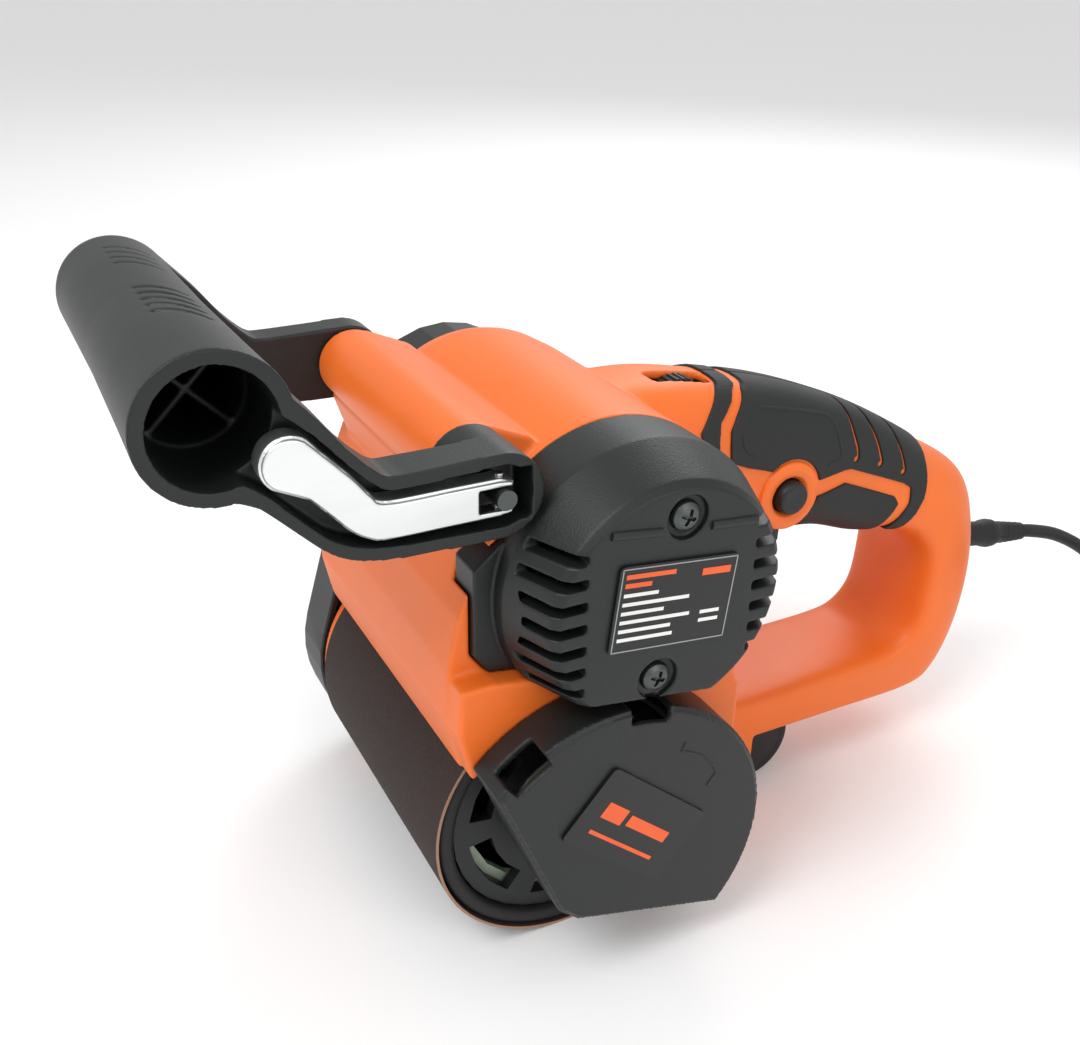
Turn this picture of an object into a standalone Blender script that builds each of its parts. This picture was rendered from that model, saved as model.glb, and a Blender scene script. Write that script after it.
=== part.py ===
"""Handheld drum sander: clamped bail handle, transverse motor, D-handle and mains cord.

Frame: +X runs from the front handle to the cord, -Y is the label side, +Z is up and the floor is z = 0.
The drum axis runs along Y. Design coordinates put it at x = 0, and the assembly empty moves the whole
sander so that the middle of its own box is the origin.
"""
import math

import bmesh
import bpy
from mathutils import Matrix, Vector

# Clearances and walls
GAP = 0.0003
BORE_GAP = 0.0001
WALL = 0.003
CENTRE_SHIFT = (-0.0431, -0.0014, 0.0)

# Main axes, as (x, z) of lines that run along Y
DRUM_AXIS = (0.0, 0.045)
MOTOR_AXIS = (0.013, 0.126)
GEAR_AXIS = (0.0092, 0.1023)
HANDLE_AXIS = (-0.029, 0.160)
GRIP_AXIS = (-0.096, 0.189)
ROLLER_AXIS = (0.0944, 0.0162)
TRIGGER_AXIS = (0.080, 0.104)
DIAL_AXIS = (0.058, 0.1500)
BUTTON_AXIS = (0.096, 0.117)

# Drum, cover and wheels
DRUM_RADIUS = 0.045
DRUM_HALF = 0.050
SLEEVE_WALL = 0.0008
FENDER_INNER = 0.0465
FENDER_OUTER = 0.0495
COVER_RADIUS = 0.0508
COVER_CHORD = 0.020
CAP_TILT = math.radians(8.3)
ROLLER_RADIUS = 0.0162
ROLLER_HALF = 0.0175
HANGER_HALF = 0.0024
SNOUT_RADIUS = 0.0135
HOUSING_SOLVER = "MANIFOLD"

# Motor
BARREL_RADIUS = 0.041
STATOR_RADIUS = 0.031
ARMATURE_RADIUS = 0.019
SHAFT_RADIUS = 0.004
BEARING_RADIUS = 0.0095

# Drive
PINION_TEETH = 9
GEAR_TEETH = 27
PINION_PITCH = 0.006
GEAR_PITCH = 0.018
SMALL_PULLEY = 0.010
LARGE_PULLEY = 0.025
BELT_THICK = 0.0016

# Stations along Y
BARREL_NEAR = -0.040
CHEEK_NEAR = -0.058
LABEL_FACE = -0.075
BOSS_NEAR = -0.0380
FAR_WALL = 0.0506
CHEEK_FAR = 0.057
BELT_COVER_FAR = 0.0765

# Fasteners, as (x, z)
CAP_SCREWS = [(0.0158, 0.1515), (0.0100, 0.1045)]
BELT_COVER_SCREWS = [(0.0165, 0.1545), (-0.0300, 0.0340)]
HOUSING_SCREWS = [(0.1810, 0.0880), (0.1480, 0.0300)]

# Cord
CORD_RADIUS = 0.00275
COIL_MEAN = 0.031
COIL_HALF = 0.00825
COIL_CENTRE = (0.338, -0.056)

ALONG_Y = (-math.pi / 2, 0.0, 0.0)
FACE_Y = (math.pi / 2, 0.0, 0.0)


def clear_scene():
    for obj in list(bpy.data.objects):
        bpy.data.objects.remove(obj)


def new_collection(name):
    collection = bpy.data.collections.new(name)
    bpy.context.scene.collection.children.link(collection)
    return collection


clear_scene()
SANDER = new_collection("drum_sander")
CUTTERS = new_collection("cutters")
ASSEMBLY = bpy.data.objects.new("assembly", None)
ASSEMBLY.location = CENTRE_SHIFT
SANDER.objects.link(ASSEMBLY)


def material(name, colour, roughness, metallic=0.0):
    mat = bpy.data.materials.new(name)
    mat.use_nodes = True
    shader = mat.node_tree.nodes["Principled BSDF"]
    shader.inputs["Base Color"].default_value = (*colour, 1.0)
    shader.inputs["Roughness"].default_value = roughness
    shader.inputs["Metallic"].default_value = metallic
    return mat


ORANGE = material("orange_plastic", (0.75, 0.12, 0.02), 0.45)
BLACK = material("black_plastic", (0.018, 0.02, 0.02), 0.55)
SOFT_GRIP = material("soft_grip", (0.012, 0.013, 0.013), 0.75)
STEEL = material("steel", (0.62, 0.62, 0.60), 0.3, 1.0)
DARK_STEEL = material("dark_steel", (0.12, 0.12, 0.12), 0.4, 1.0)
ABRASIVE = material("abrasive", (0.05, 0.025, 0.02), 0.9)
RUBBER = material("rubber", (0.015, 0.015, 0.015), 0.8)
NYLON = material("nylon", (0.62, 0.68, 0.55), 0.5)
COPPER = material("copper", (0.72, 0.32, 0.15), 0.35, 1.0)
CARBON = material("carbon", (0.03, 0.03, 0.03), 0.7)
ALUMINIUM = material("aluminium", (0.7, 0.7, 0.7), 0.35, 1.0)
LABEL = material("label", (0.02, 0.02, 0.02), 0.5)


def add_object(name, mesh, mat):
    """Put a mesh in the sander under the assembly empty."""
    obj = bpy.data.objects.new(name, mesh)
    SANDER.objects.link(obj)
    obj.parent = ASSEMBLY
    if mat is not None:
        mesh.materials.append(mat)
    return obj


def smooth(obj, degrees=35.0):
    for polygon in obj.data.polygons:
        polygon.use_smooth = True
    obj.data.set_sharp_from_angle(angle=math.radians(degrees))


def make_cutter(obj):
    """Keep a Boolean's second body out of the sander."""
    SANDER.objects.unlink(obj)
    CUTTERS.objects.link(obj)
    obj.hide_render = True
    obj.display_type = "WIRE"


def combine(obj, operation, other, solver="EXACT"):
    if other.name in SANDER.objects:
        make_cutter(other)
    modifier = obj.modifiers.new(operation.lower(), "BOOLEAN")
    modifier.operation = operation
    modifier.solver = solver
    modifier.object = other


def cut(obj, *others, solver="EXACT"):
    for other in others:
        combine(obj, "DIFFERENCE", other, solver)


def join(obj, *others, solver="EXACT"):
    for other in others:
        combine(obj, "UNION", other, solver)


def bevel(obj, width, segments=2, angle=30.0):
    modifier = obj.modifiers.new("bevel", "BEVEL")
    modifier.width = width
    modifier.segments = segments
    modifier.limit_method = "ANGLE"
    modifier.angle_limit = math.radians(angle)


def set_origin(obj, point):
    """Move the object's origin to a design point without moving its surface."""
    placed = Matrix.LocRotScale(obj.location, obj.rotation_euler, None)
    shift = placed.inverted() @ Vector(point)
    obj.data.transform(Matrix.Translation(-shift))
    obj.location = point


def turned(name, profile, mat, axis=(0.0, 0.0), steps=24, hollow=False):
    """Revolve (radius, y) points, listed from far to near down the outside, about a line along Y."""
    mesh = bpy.data.meshes.new(name)
    points = [(radius, 0.0, along) for radius, along in profile]
    edges = [(i, i + 1) for i in range(len(points) - 1)]
    if hollow:
        edges.append((len(points) - 1, 0))
    mesh.from_pydata(points, edges, [])
    obj = add_object(name, mesh, mat)
    screw = obj.modifiers.new("screw", "SCREW")
    screw.steps = steps
    screw.render_steps = steps
    screw.use_merge_vertices = True
    screw.merge_threshold = 0.00001
    screw.use_smooth_shade = True
    obj.rotation_euler = ALONG_Y
    obj.location = (axis[0], 0.0, axis[1])
    return obj


def disc(name, radius, near, far, mat=None, axis=(0.0, 0.0), steps=24):
    """A plain round bar between two stations along Y."""
    profile = [(0.0, far), (radius, far), (radius, near), (0.0, near)]
    return turned(name, profile, mat, axis, steps)


def ring(name, outer, inner, near, far, mat=None, axis=(0.0, 0.0), steps=24):
    """A plain tube between two stations along Y."""
    profile = [(inner, far), (outer, far), (outer, near), (inner, near)]
    return turned(name, profile, mat, axis, steps, hollow=True)


def slab(name, outlines, near, far, mat=None):
    """Extrude closed (x, z) outlines, the first outside and the rest holes, between two stations."""
    curve = bpy.data.curves.new(name, "CURVE")
    curve.dimensions = "2D"
    curve.fill_mode = "BOTH"
    curve.extrude = (far - near) / 2
    for outline in outlines:
        spline = curve.splines.new("POLY")
        spline.points.add(len(outline) - 1)
        for point, (x, z) in zip(spline.points, outline):
            point.co = (x, z, 0.0, 1.0)
        spline.use_cyclic_u = True
    return curve_body(name, curve, (0.0, (near + far) / 2, 0.0), FACE_Y, mat)


def curve_body(name, curve, location, rotation, mat):
    """Turn curve data into a mesh object with welded seams."""
    source = bpy.data.objects.new(name + "_curve", curve)
    SANDER.objects.link(source)
    evaluated = source.evaluated_get(bpy.context.evaluated_depsgraph_get())
    mesh = bpy.data.meshes.new_from_object(evaluated)
    bpy.data.objects.remove(source)
    welded = bmesh.new()
    welded.from_mesh(mesh)
    bmesh.ops.remove_doubles(welded, verts=welded.verts, dist=0.000001)
    bmesh.ops.recalc_face_normals(welded, faces=welded.faces)
    welded.to_mesh(mesh)
    welded.free()
    obj = add_object(name, mesh, mat)
    obj.location = location
    obj.rotation_euler = rotation
    return obj


def block(name, centre, size, mat=None, tilt=0.0):
    """A box, tilted about Y."""
    mesh = bpy.data.meshes.new(name)
    shape = bmesh.new()
    bmesh.ops.create_cube(shape, size=1.0)
    bmesh.ops.scale(shape, vec=size, verts=shape.verts)
    shape.to_mesh(mesh)
    shape.free()
    obj = add_object(name, mesh, mat)
    obj.location = centre
    obj.rotation_euler = (0.0, tilt, 0.0)
    return obj


def bar(name, start, end, radius, mat=None, segments=16):
    """A round bar between two points."""
    first = Vector(start)
    last = Vector(end)
    mesh = bpy.data.meshes.new(name)
    shape = bmesh.new()
    bmesh.ops.create_cone(shape, cap_ends=True, segments=segments, radius1=radius, radius2=radius,
                          depth=(last - first).length)
    shape.to_mesh(mesh)
    shape.free()
    obj = add_object(name, mesh, mat)
    obj.location = (first + last) / 2
    obj.rotation_euler = (last - first).to_track_quat("Z", "Y").to_euler()
    return obj


def arc(axis, radius, start, end, count):
    """Points on a circle in the XZ plane, angles in degrees from +X towards +Z."""
    angles = [math.radians(start + (end - start) * i / (count - 1)) for i in range(count)]
    return [(axis[0] + radius * math.cos(a), axis[1] + radius * math.sin(a)) for a in angles]


def grown(outline, amount):
    """Move every side of a closed (x, z) outline outwards by the same amount."""
    points = [Vector(point) for point in outline]
    area = sum(a.x * b.y - b.x * a.y for a, b in zip(points, points[1:] + points[:1]))
    turn = math.copysign(1.0, area)
    result = []
    for before, here, after in zip(points[-1:] + points[:-1], points, points[1:] + points[:1]):
        first = (here - before).normalized()
        second = (after - here).normalized()
        middle = Vector((first.y + second.y, -first.x - second.x)).normalized() * turn
        reach = amount / max(0.4, middle.dot(Vector((first.y, -first.x)) * turn))
        result.append((here.x + middle.x * reach, here.y + middle.y * reach))
    return result


def loft(name, rings, mat=None):
    """Skin a row of equal rings of points and close both ends."""
    shape = bmesh.new()
    rows = [[shape.verts.new(point) for point in points] for points in rings]
    for low, high in zip(rows, rows[1:]):
        for i, vertex in enumerate(low):
            j = (i + 1) % len(low)
            shape.faces.new((vertex, low[j], high[j], high[i]))
    shape.faces.new(rows[0])
    shape.faces.new(reversed(rows[-1]))
    bmesh.ops.recalc_face_normals(shape, faces=shape.faces)
    mesh = bpy.data.meshes.new(name)
    shape.to_mesh(mesh)
    shape.free()
    return add_object(name, mesh, mat)


# ---------------------------------------------------------------- D-handle

# Outer point, inner point, half width, the share of the height where the section is widest, and how
# round the section is outside and inside: 1 is an ellipse and a small value is nearly a rectangle
HANDLE_STATIONS = [
    ((0.022, 0.1620), (0.030, 0.098), 0.022, 0.5, 0.62, 0.62),
    ((0.048, 0.1615), (0.056, 0.096), 0.022, 0.5, 0.62, 0.62),
    ((0.070, 0.1580), (0.074, 0.098), 0.020, 0.5, 0.70, 0.62),
    ((0.092, 0.153), (0.092, 0.100), 0.0185, 0.5, 0.75, 0.62),
    ((0.115, 0.145), (0.113, 0.099), 0.0185, 0.5, 0.75, 0.62),
    ((0.138, 0.135), (0.133, 0.0925), 0.0185, 0.5, 0.75, 0.62),
    ((0.163, 0.121), (0.148, 0.0905), 0.020, 0.42, 0.85, 0.60),
    ((0.187, 0.106), (0.159, 0.086), 0.021, 0.35, 0.95, 0.55),
    ((0.1965, 0.085), (0.165, 0.077), 0.022, 0.3, 1.0, 0.50),
    ((0.2000, 0.062), (0.166, 0.062), 0.022, 0.27, 1.0, 0.45),
    ((0.196, 0.040), (0.164, 0.049), 0.022, 0.32, 0.95, 0.40),
    ((0.183, 0.0245), (0.157, 0.0415), 0.022, 0.4, 0.60, 0.35),
    ((0.167, 0.0206), (0.146, 0.0395), 0.022, 0.5, 0.30, 0.34),
    ((0.130, 0.0202), (0.125, 0.039), 0.022, 0.5, 0.30, 0.34),
    ((0.091, 0.0203), (0.090, 0.0385), 0.022, 0.5, 0.30, 0.34),
    ((0.060, 0.0200), (0.062, 0.042), 0.022, 0.5, 0.30, 0.34),
    ((0.050, 0.0206), (0.050, 0.054), 0.022, 0.5, 0.30, 0.34),
]
SECTION_POINTS = 16


def signed_power(value, power):
    return math.copysign(abs(value) ** power, value)


def handle_section(station, inset):
    """One rounded cross-section of the D-handle, pulled in all round by the inset."""
    (outer_x, outer_z), (inner_x, inner_z), half_width, belly, outer_round, inner_round = station
    outer = Vector((outer_x, 0.0, outer_z))
    inner = Vector((inner_x, 0.0, inner_z))
    up = (outer - inner).normalized()
    outer = outer - up * inset
    inner = inner + up * inset
    middle = inner.lerp(outer, belly)
    points = []
    for i in range(SECTION_POINTS):
        angle = 2 * math.pi * i / SECTION_POINTS
        power = outer_round if math.sin(angle) > 0 else inner_round
        side = signed_power(math.cos(angle), power) * (half_width - inset)
        lift = signed_power(math.sin(angle), power)
        reach = (outer - middle).length if lift > 0 else (inner - middle).length
        points.append(middle + up * (lift * reach) + Vector((0.0, side, 0.0)))
    return points


def handle_loft(name, inset, first=0, last=len(HANDLE_STATIONS)):
    return loft(name, [handle_section(station, inset) for station in HANDLE_STATIONS[first:last]])


# ---------------------------------------------------------------- housing

def body_outline():
    """Side outline of the motor and fender block."""
    return [(-0.0374, 0.0738), (-0.0387, 0.0790), (-0.0410, 0.0900), (-0.0403, 0.1060), (-0.0370, 0.1220),
            (-0.0310, 0.1370), (-0.0240, 0.1480), (0.0130, 0.1500), (0.0540, 0.1150), (0.0580, 0.0950),
            (0.0560, 0.0750), (0.0540, 0.0500), (0.0530, 0.0240), (0.0440, 0.0240)]


def body_hollow_outline():
    """Side outline of the space between the fender and the motor."""
    return [(-0.0352, 0.0830), (-0.0378, 0.0900), (-0.0372, 0.1060), (-0.0340, 0.1220), (-0.0280, 0.1365),
            (-0.0210, 0.1450), (0.0130, 0.1470), (0.0510, 0.1140), (0.0548, 0.0950), (0.0530, 0.0750),
            (0.0518, 0.0620), (0.0200, 0.0610), (-0.0200, 0.0700)]


def roller_skirt(name, near):
    """One thin skirt in front of the rear rollers, hung under the lower bar."""
    outline = [(0.0680, 0.0300), (0.0760, 0.0080), (0.0840, 0.0048), (0.0913, 0.0050), (0.0913, 0.0300)]
    return slab(name, [outline], near, near + 0.0030)


def housing_outer():
    """The outside of both housing halves as one body."""
    barrel = [(0.0, 0.0560), (0.0375, 0.0560), (0.0395, 0.0500), (BARREL_RADIUS, 0.0320),
              (BARREL_RADIUS, BARREL_NEAR - 0.0005), (0.0, BARREL_NEAR - 0.0005)]
    body = turned("outer_body", barrel, None, MOTOR_AXIS, 36)
    block_body = slab("outer_block", [body_outline()], -0.050, CHEEK_FAR)
    cheek_near = slab("outer_cheek", [cheek_outline()], CHEEK_NEAR, -0.049)
    rail = ring("outer_rail", 0.0482, 0.0400, CHEEK_NEAR - 0.0017, -0.0495, axis=DRUM_AXIS, steps=30)
    rail_keep = slab("rail_keep", [[(-0.0345, 0.0760), (-0.060, 0.120), (0.060, 0.120), (0.060, 0.0305)]],
                     -0.070, -0.040)
    combine(rail, "INTERSECT", rail_keep)
    far_disc = disc("outer_far_disc", 0.043, FAR_WALL - 0.001, CHEEK_FAR - 0.0004, axis=DRUM_AXIS, steps=30)
    snout = disc("outer_snout", SNOUT_RADIUS, 0.0100, 0.0540, axis=DRUM_AXIS)
    boss = disc("outer_boss", 0.0108, BOSS_NEAR, 0.0494, axis=HANDLE_AXIS, steps=24)
    web_outline = [(-0.036, 0.1500), (-0.024, 0.1700), (-0.010, 0.1640), (0.013, 0.140), (-0.030, 0.132)]
    boss_web = slab("outer_boss_web", [web_outline], BOSS_NEAR + 0.0005, 0.0490)
    grip = handle_loft("outer_grip", 0.0)
    skirt_near = roller_skirt("outer_skirt_near", -0.0219)
    skirt_far = roller_skirt("outer_skirt_far", 0.0189)
    hanger = [(0.0870, 0.0300), (0.0884, 0.0120), (0.0944, 0.0095), (0.1004, 0.0120), (0.1018, 0.0300)]
    axle_hanger = slab("outer_hanger", [hanger], -HANGER_HALF, HANGER_HALF)
    join(body, block_body, cheek_near, rail, far_disc, snout, boss, boss_web, grip, skirt_near, skirt_far,
         axle_hanger, solver=HOUSING_SOLVER)
    return body


def cheek_outline():
    """Side outline of the near cheek that carries the side cover's rail."""
    front = [(-0.0369, 0.0744), (-0.0381, 0.0790), (-0.0408, 0.0900), (-0.0399, 0.1040)]
    return front + [(0.040, 0.1040), (0.0522, 0.0800), (0.0522, 0.0400)]


def housing_inner():
    """The hollow inside both housing halves as one body."""
    hollow = disc("inner_hollow", BARREL_RADIUS - WALL - 0.0015, BARREL_NEAR - 0.001, FAR_WALL, axis=MOTOR_AXIS, steps=30)
    block_hollow = slab("inner_block", [body_hollow_outline()], -0.047, FAR_WALL - 0.0003)
    grip_hollow = handle_loft("inner_grip", WALL, 0, 15)
    join(hollow, block_hollow, grip_hollow, solver=HOUSING_SOLVER)
    fender = disc("inner_fender", FENDER_OUTER, -0.060, 0.060, axis=DRUM_AXIS, steps=30)
    rod_tube = disc("inner_boss", 0.0075, -0.060, 0.060, axis=HANDLE_AXIS)
    cut(hollow, fender, rod_tube, solver=HOUSING_SOLVER)
    for index, centre in enumerate(HOUSING_SCREWS):
        post = disc(f"inner_post_{index}", 0.0047, -0.0300, 0.0300, axis=centre, steps=12)
        cut(hollow, post, solver=HOUSING_SOLVER)
    return hollow


def housing_openings():
    """Everything that is cut through the housing: drum bay, cap seat, bearings, trigger and controls."""
    drum_bay = disc("cut_drum", FENDER_INNER, -0.062, FAR_WALL - 0.0001, axis=DRUM_AXIS, steps=30)
    cut(drum_bay, disc("cut_snout", SNOUT_RADIUS + 0.0002, 0.005, 0.060, axis=DRUM_AXIS))
    cap_seat = disc("cut_cap", BARREL_RADIUS + GAP, -0.080, BARREL_NEAR, axis=MOTOR_AXIS, steps=30)
    cap_floor = block("cut_cap_floor", (0.0102, -0.055, 0.0780), (0.130, 0.080, 0.0396), tilt=CAP_TILT)
    join(cap_seat, slab("cut_cap_block", [cap_front_outline(GAP)], -0.080, BARREL_NEAR + 0.0002),
         solver=HOUSING_SOLVER)
    cut(cap_seat, cap_floor, solver=HOUSING_SOLVER)
    shaft_bore = disc("cut_shaft", BEARING_RADIUS + BORE_GAP, 0.049, 0.060, axis=MOTOR_AXIS)
    gear_bore = disc("cut_gear", BEARING_RADIUS + BORE_GAP, 0.049, 0.060, axis=GEAR_AXIS)
    drum_bore = disc("cut_drum_bore", 0.0111, 0.005, 0.060, axis=DRUM_AXIS)
    rod_bore = disc("cut_rod", 0.0031, -0.060, 0.060, axis=HANDLE_AXIS, steps=16)
    button_bore = disc("cut_button", 0.0062, -0.030, -0.010, axis=BUTTON_AXIS, steps=24)
    dial_slot = block("cut_dial", (0.058, -0.004, 0.156), (0.0215, 0.0075, 0.024))
    trigger_slot = block("cut_trigger", (0.0905, 0.0, 0.099), (0.0275, 0.0186, 0.020))
    axle_bore = disc("cut_axle", 0.0031, -0.0180, 0.0180, axis=ROLLER_AXIS, steps=16)
    bay_near = disc("cut_roller_near", ROLLER_RADIUS + 0.0014, -0.0184, -HANGER_HALF, axis=ROLLER_AXIS)
    bay_far = disc("cut_roller_far", ROLLER_RADIUS + 0.0014, HANGER_HALF, 0.0184, axis=ROLLER_AXIS)
    return [drum_bay, cap_seat, shaft_bore, gear_bore, drum_bore, rod_bore, button_bore,
            dial_slot, trigger_slot, axle_bore, bay_near, bay_far]


GRIP_PATCH = [(0.0800, 0.1700), (0.0790, 0.1400), (0.0850, 0.1250), (0.0835, 0.1100), (0.0900, 0.1045),
              (0.1160, 0.1040), (0.1350, 0.0985), (0.1490, 0.0980), (0.1580, 0.1070), (0.1640, 0.1280),
              (0.1500, 0.1500), (0.1200, 0.1650)]
BUTTON_RING = 0.0112


def grip_cover(name, side, mat):
    """The soft grip on one side: the skin of the D-handle inside the panel's outline."""
    near, far = (-0.030, -GAP / 2) if side < 0 else (GAP / 2, 0.030)
    panel = slab(name, [GRIP_PATCH], near, far, mat)
    skin = handle_loft(name + "_skin", 0.0, 1, 10)
    combine(panel, "INTERSECT", skin, HOUSING_SOLVER)
    core = handle_loft(name + "_core", 0.0018, 1, 10)
    island = disc(name + "_island", BUTTON_RING, -0.031, -0.010, axis=BUTTON_AXIS)
    cut(panel, core, island, solver=HOUSING_SOLVER)
    return panel


def grip_seat(name, side):
    """The recess that a soft grip sits in, with the button's ring left standing."""
    near, far = (-0.031, 0.001) if side < 0 else (-0.001, 0.031)
    seat = slab(name, [grown(GRIP_PATCH, GAP)], near, far)
    core = handle_loft(name + "_core", 0.0021, 1, 10)
    island = disc(name + "_island", BUTTON_RING - GAP, -0.032, -0.009, axis=BUTTON_AXIS)
    cut(seat, core, island, solver=HOUSING_SOLVER)
    return seat


def housing():
    """Two clamshell halves that meet on the centre plane."""
    outer = housing_outer()
    inner = housing_inner()
    openings = housing_openings()
    make_cutter(outer)
    make_cutter(inner)
    for side, name in ((-1, "housing_near"), (1, "housing_far")):
        half = block(name, (0.080, side * (0.060 + GAP / 2), 0.100), (0.340, 0.120, 0.240), ORANGE)
        combine(half, "INTERSECT", outer, HOUSING_SOLVER)
        cut(half, inner, *openings, grip_seat(name + "_seat", side), solver=HOUSING_SOLVER)
    grip_cover("grip_near", -1, SOFT_GRIP)
    grip_cover("grip_far", 1, SOFT_GRIP)


# ---------------------------------------------------------------- motor end cap

def cap_front_outline(grow=0.0):
    """The squared front corner of the motor end cap."""
    return [(-0.0335 - grow, 0.1100 - grow), (-0.0335 - grow, 0.1360 + grow), (-0.0250, 0.1430 + grow),
            (0.0130, 0.1430 + grow), (0.0130, 0.0970 - grow), (-0.0237, 0.0970 - grow)]


def end_cap():
    """Black motor end cap with a cone band, a flat underside and rows of air slots."""
    near = LABEL_FACE
    outside = [(0.0, BARREL_NEAR - GAP), (BARREL_RADIUS, BARREL_NEAR - GAP), (BARREL_RADIUS, -0.0575),
               (0.0355, -0.0730), (0.0335, near), (0.0, near)]
    cap = turned("end_cap", outside, BLACK, MOTOR_AXIS, 32)
    corner = slab("cap_corner", [cap_front_outline()], -0.0520, BARREL_NEAR - GAP)
    join(cap, corner)
    inside = [(0.0, -0.030), (0.0380, -0.030), (0.0380, -0.0560), (0.0310, -0.0715), (0.0, -0.0715)]
    hollow = turned("cap_hollow", inside, None, MOTOR_AXIS, 28)
    low_wall = block("cap_low_wall", (0.013, -0.055, 0.0815), (0.100, 0.060, 0.039), tilt=CAP_TILT)
    cut(hollow, low_wall)
    seat = disc("cap_seat_post", BEARING_RADIUS + 0.003, -0.074, -0.063, axis=MOTOR_AXIS)
    cut(hollow, seat)
    cut(cap, hollow)
    cut(cap, disc("cap_bearing_seat", BEARING_RADIUS + BORE_GAP, -0.0705, -0.050, axis=MOTOR_AXIS))
    cut(cap, block("cap_underside", (0.0102, -0.055, 0.0784), (0.120, 0.060, 0.0396), tilt=CAP_TILT))
    for index in range(7):
        offset = -0.0195 + 0.0065 * index
        for side in (-1, 1):
            centre = (MOTOR_AXIS[0] + side * 0.0320, -0.0690, MOTOR_AXIS[1] + offset)
            cut(cap, block("cap_slot", centre, (0.0130, 0.0200, 0.0028)))
    for centre in CAP_SCREWS:
        cut(cap, disc("cap_screw_seat", 0.0062, -0.080, -0.0728, axis=centre, steps=16))
        cut(cap, disc("cap_screw_hole", 0.0022, -0.080, -0.0600, axis=centre, steps=12))
    return cap


def screw(name, axis, head_far, head_near, mat=DARK_STEEL, shank=0.008, head=0.0045, toward=1):
    """A pan-head cross-recess screw along Y; toward is +1 where the shank points to +Y."""
    head_profile = [(0.0, head_near), (head * 0.72, head_near), (head, (head_near + head_far) / 2),
                    (head, head_far), (0.0019, head_far), (0.0019, head_far + toward * shank),
                    (0.0, head_far + toward * (shank + 0.0015))]
    if toward > 0:
        head_profile.reverse()
    body = turned(name, head_profile, mat, axis, 12)
    middle = head_near + toward * 0.0004
    for tilt in (0.4, 0.4 + math.pi / 2):
        cut(body, block(name + "_recess", (axis[0], middle, axis[1]), (head * 1.1, 0.0022, 0.0011), tilt=tilt))
    return body


def cap_details():
    for index, centre in enumerate(CAP_SCREWS):
        screw(f"cap_screw_{index + 1}", centre, -0.0731, -0.0750)
    plate = block("rating_plate", (0.013, LABEL_FACE - GAP - 0.0003, 0.1275), (0.0370, 0.0006, 0.0255), LABEL,
                  tilt=math.radians(6.3))
    return plate


# ---------------------------------------------------------------- motor

def stator():
    core = ring("stator_core", STATOR_RADIUS, 0.0255, -0.022, 0.022, DARK_STEEL, MOTOR_AXIS, 32)
    for side, start in ((1, 50.0), (-1, 230.0)):
        shoe = (arc((0.0, 0.0), 0.0215, start, start + 80.0, 11)
                + arc((0.0, 0.0), 0.0198, start + 80.0, start, 11))
        placed = [(x + MOTOR_AXIS[0], z + MOTOR_AXIS[1]) for x, z in shoe]
        pole = slab("pole_shoe", [placed], -0.022, 0.022)
        neck = block("pole_neck", (MOTOR_AXIS[0], 0.0, MOTOR_AXIS[1] + side * 0.0238), (0.016, 0.044, 0.0056))
        join(core, pole, neck)
        coil_shape = (arc((0.0, 0.0), 0.0251, start + 2, start + 78.0, 11)
                      + arc((0.0, 0.0), 0.0219, start + 78.0, start + 2, 11))
        placed = [(x + MOTOR_AXIS[0], z + MOTOR_AXIS[1]) for x, z in coil_shape]
        coil = slab("field_coil_upper" if side > 0 else "field_coil_lower", [placed], -0.0275, 0.0275, COPPER)
        cut(coil, block("neck_space", (MOTOR_AXIS[0], 0.0, MOTOR_AXIS[1] + side * 0.0238),
                        (0.0164, 0.0446, 0.010)))


def armature():
    steps = 24
    disc("armature_shaft", SHAFT_RADIUS, -0.0698, 0.0646, DARK_STEEL, MOTOR_AXIS, steps)
    core = ring("armature_core", ARMATURE_RADIUS, SHAFT_RADIUS + BORE_GAP, -0.022, 0.022, DARK_STEEL,
                MOTOR_AXIS, 24)
    for index in range(8):
        angle = 2 * math.pi * index / 8
        centre = (MOTOR_AXIS[0] + 0.0185 * math.cos(angle), 0.0, MOTOR_AXIS[1] + 0.0185 * math.sin(angle))
        cut(core, block("armature_slot", centre, (0.006, 0.050, 0.0022), tilt=-angle))
    ring("commutator", 0.0125, SHAFT_RADIUS + BORE_GAP, -0.0560, -0.0420, COPPER, MOTOR_AXIS, steps)
    fan = ring("cooling_fan", 0.0120, SHAFT_RADIUS + BORE_GAP, 0.0290, 0.0410, NYLON, MOTOR_AXIS, steps)
    join(fan, ring("fan_plate", 0.0310, 0.0110, 0.0290, 0.0305, axis=MOTOR_AXIS))
    for index in range(7):
        angle = 2 * math.pi * index / 7
        centre = (MOTOR_AXIS[0] + 0.0200 * math.cos(angle), 0.0345, MOTOR_AXIS[1] + 0.0200 * math.sin(angle))
        join(fan, block("fan_blade", centre, (0.0180, 0.0095, 0.0016), tilt=-angle))


def gear_outline(axis, pitch, teeth, phase):
    """Spur gear outline with straight-sided teeth."""
    tooth = math.pi * pitch / teeth
    points = []
    for index in range(teeth):
        middle = 2 * math.pi * index / teeth + phase
        for radius, share in ((pitch - 0.9 * tooth * 0.7, -0.62), (pitch + 0.55 * tooth, -0.20),
                              (pitch + 0.55 * tooth, 0.20), (pitch - 0.9 * tooth * 0.7, 0.62)):
            angle = middle + share * math.pi / teeth
            points.append((axis[0] + radius * math.cos(angle), axis[1] + radius * math.sin(angle)))
    return points


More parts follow.
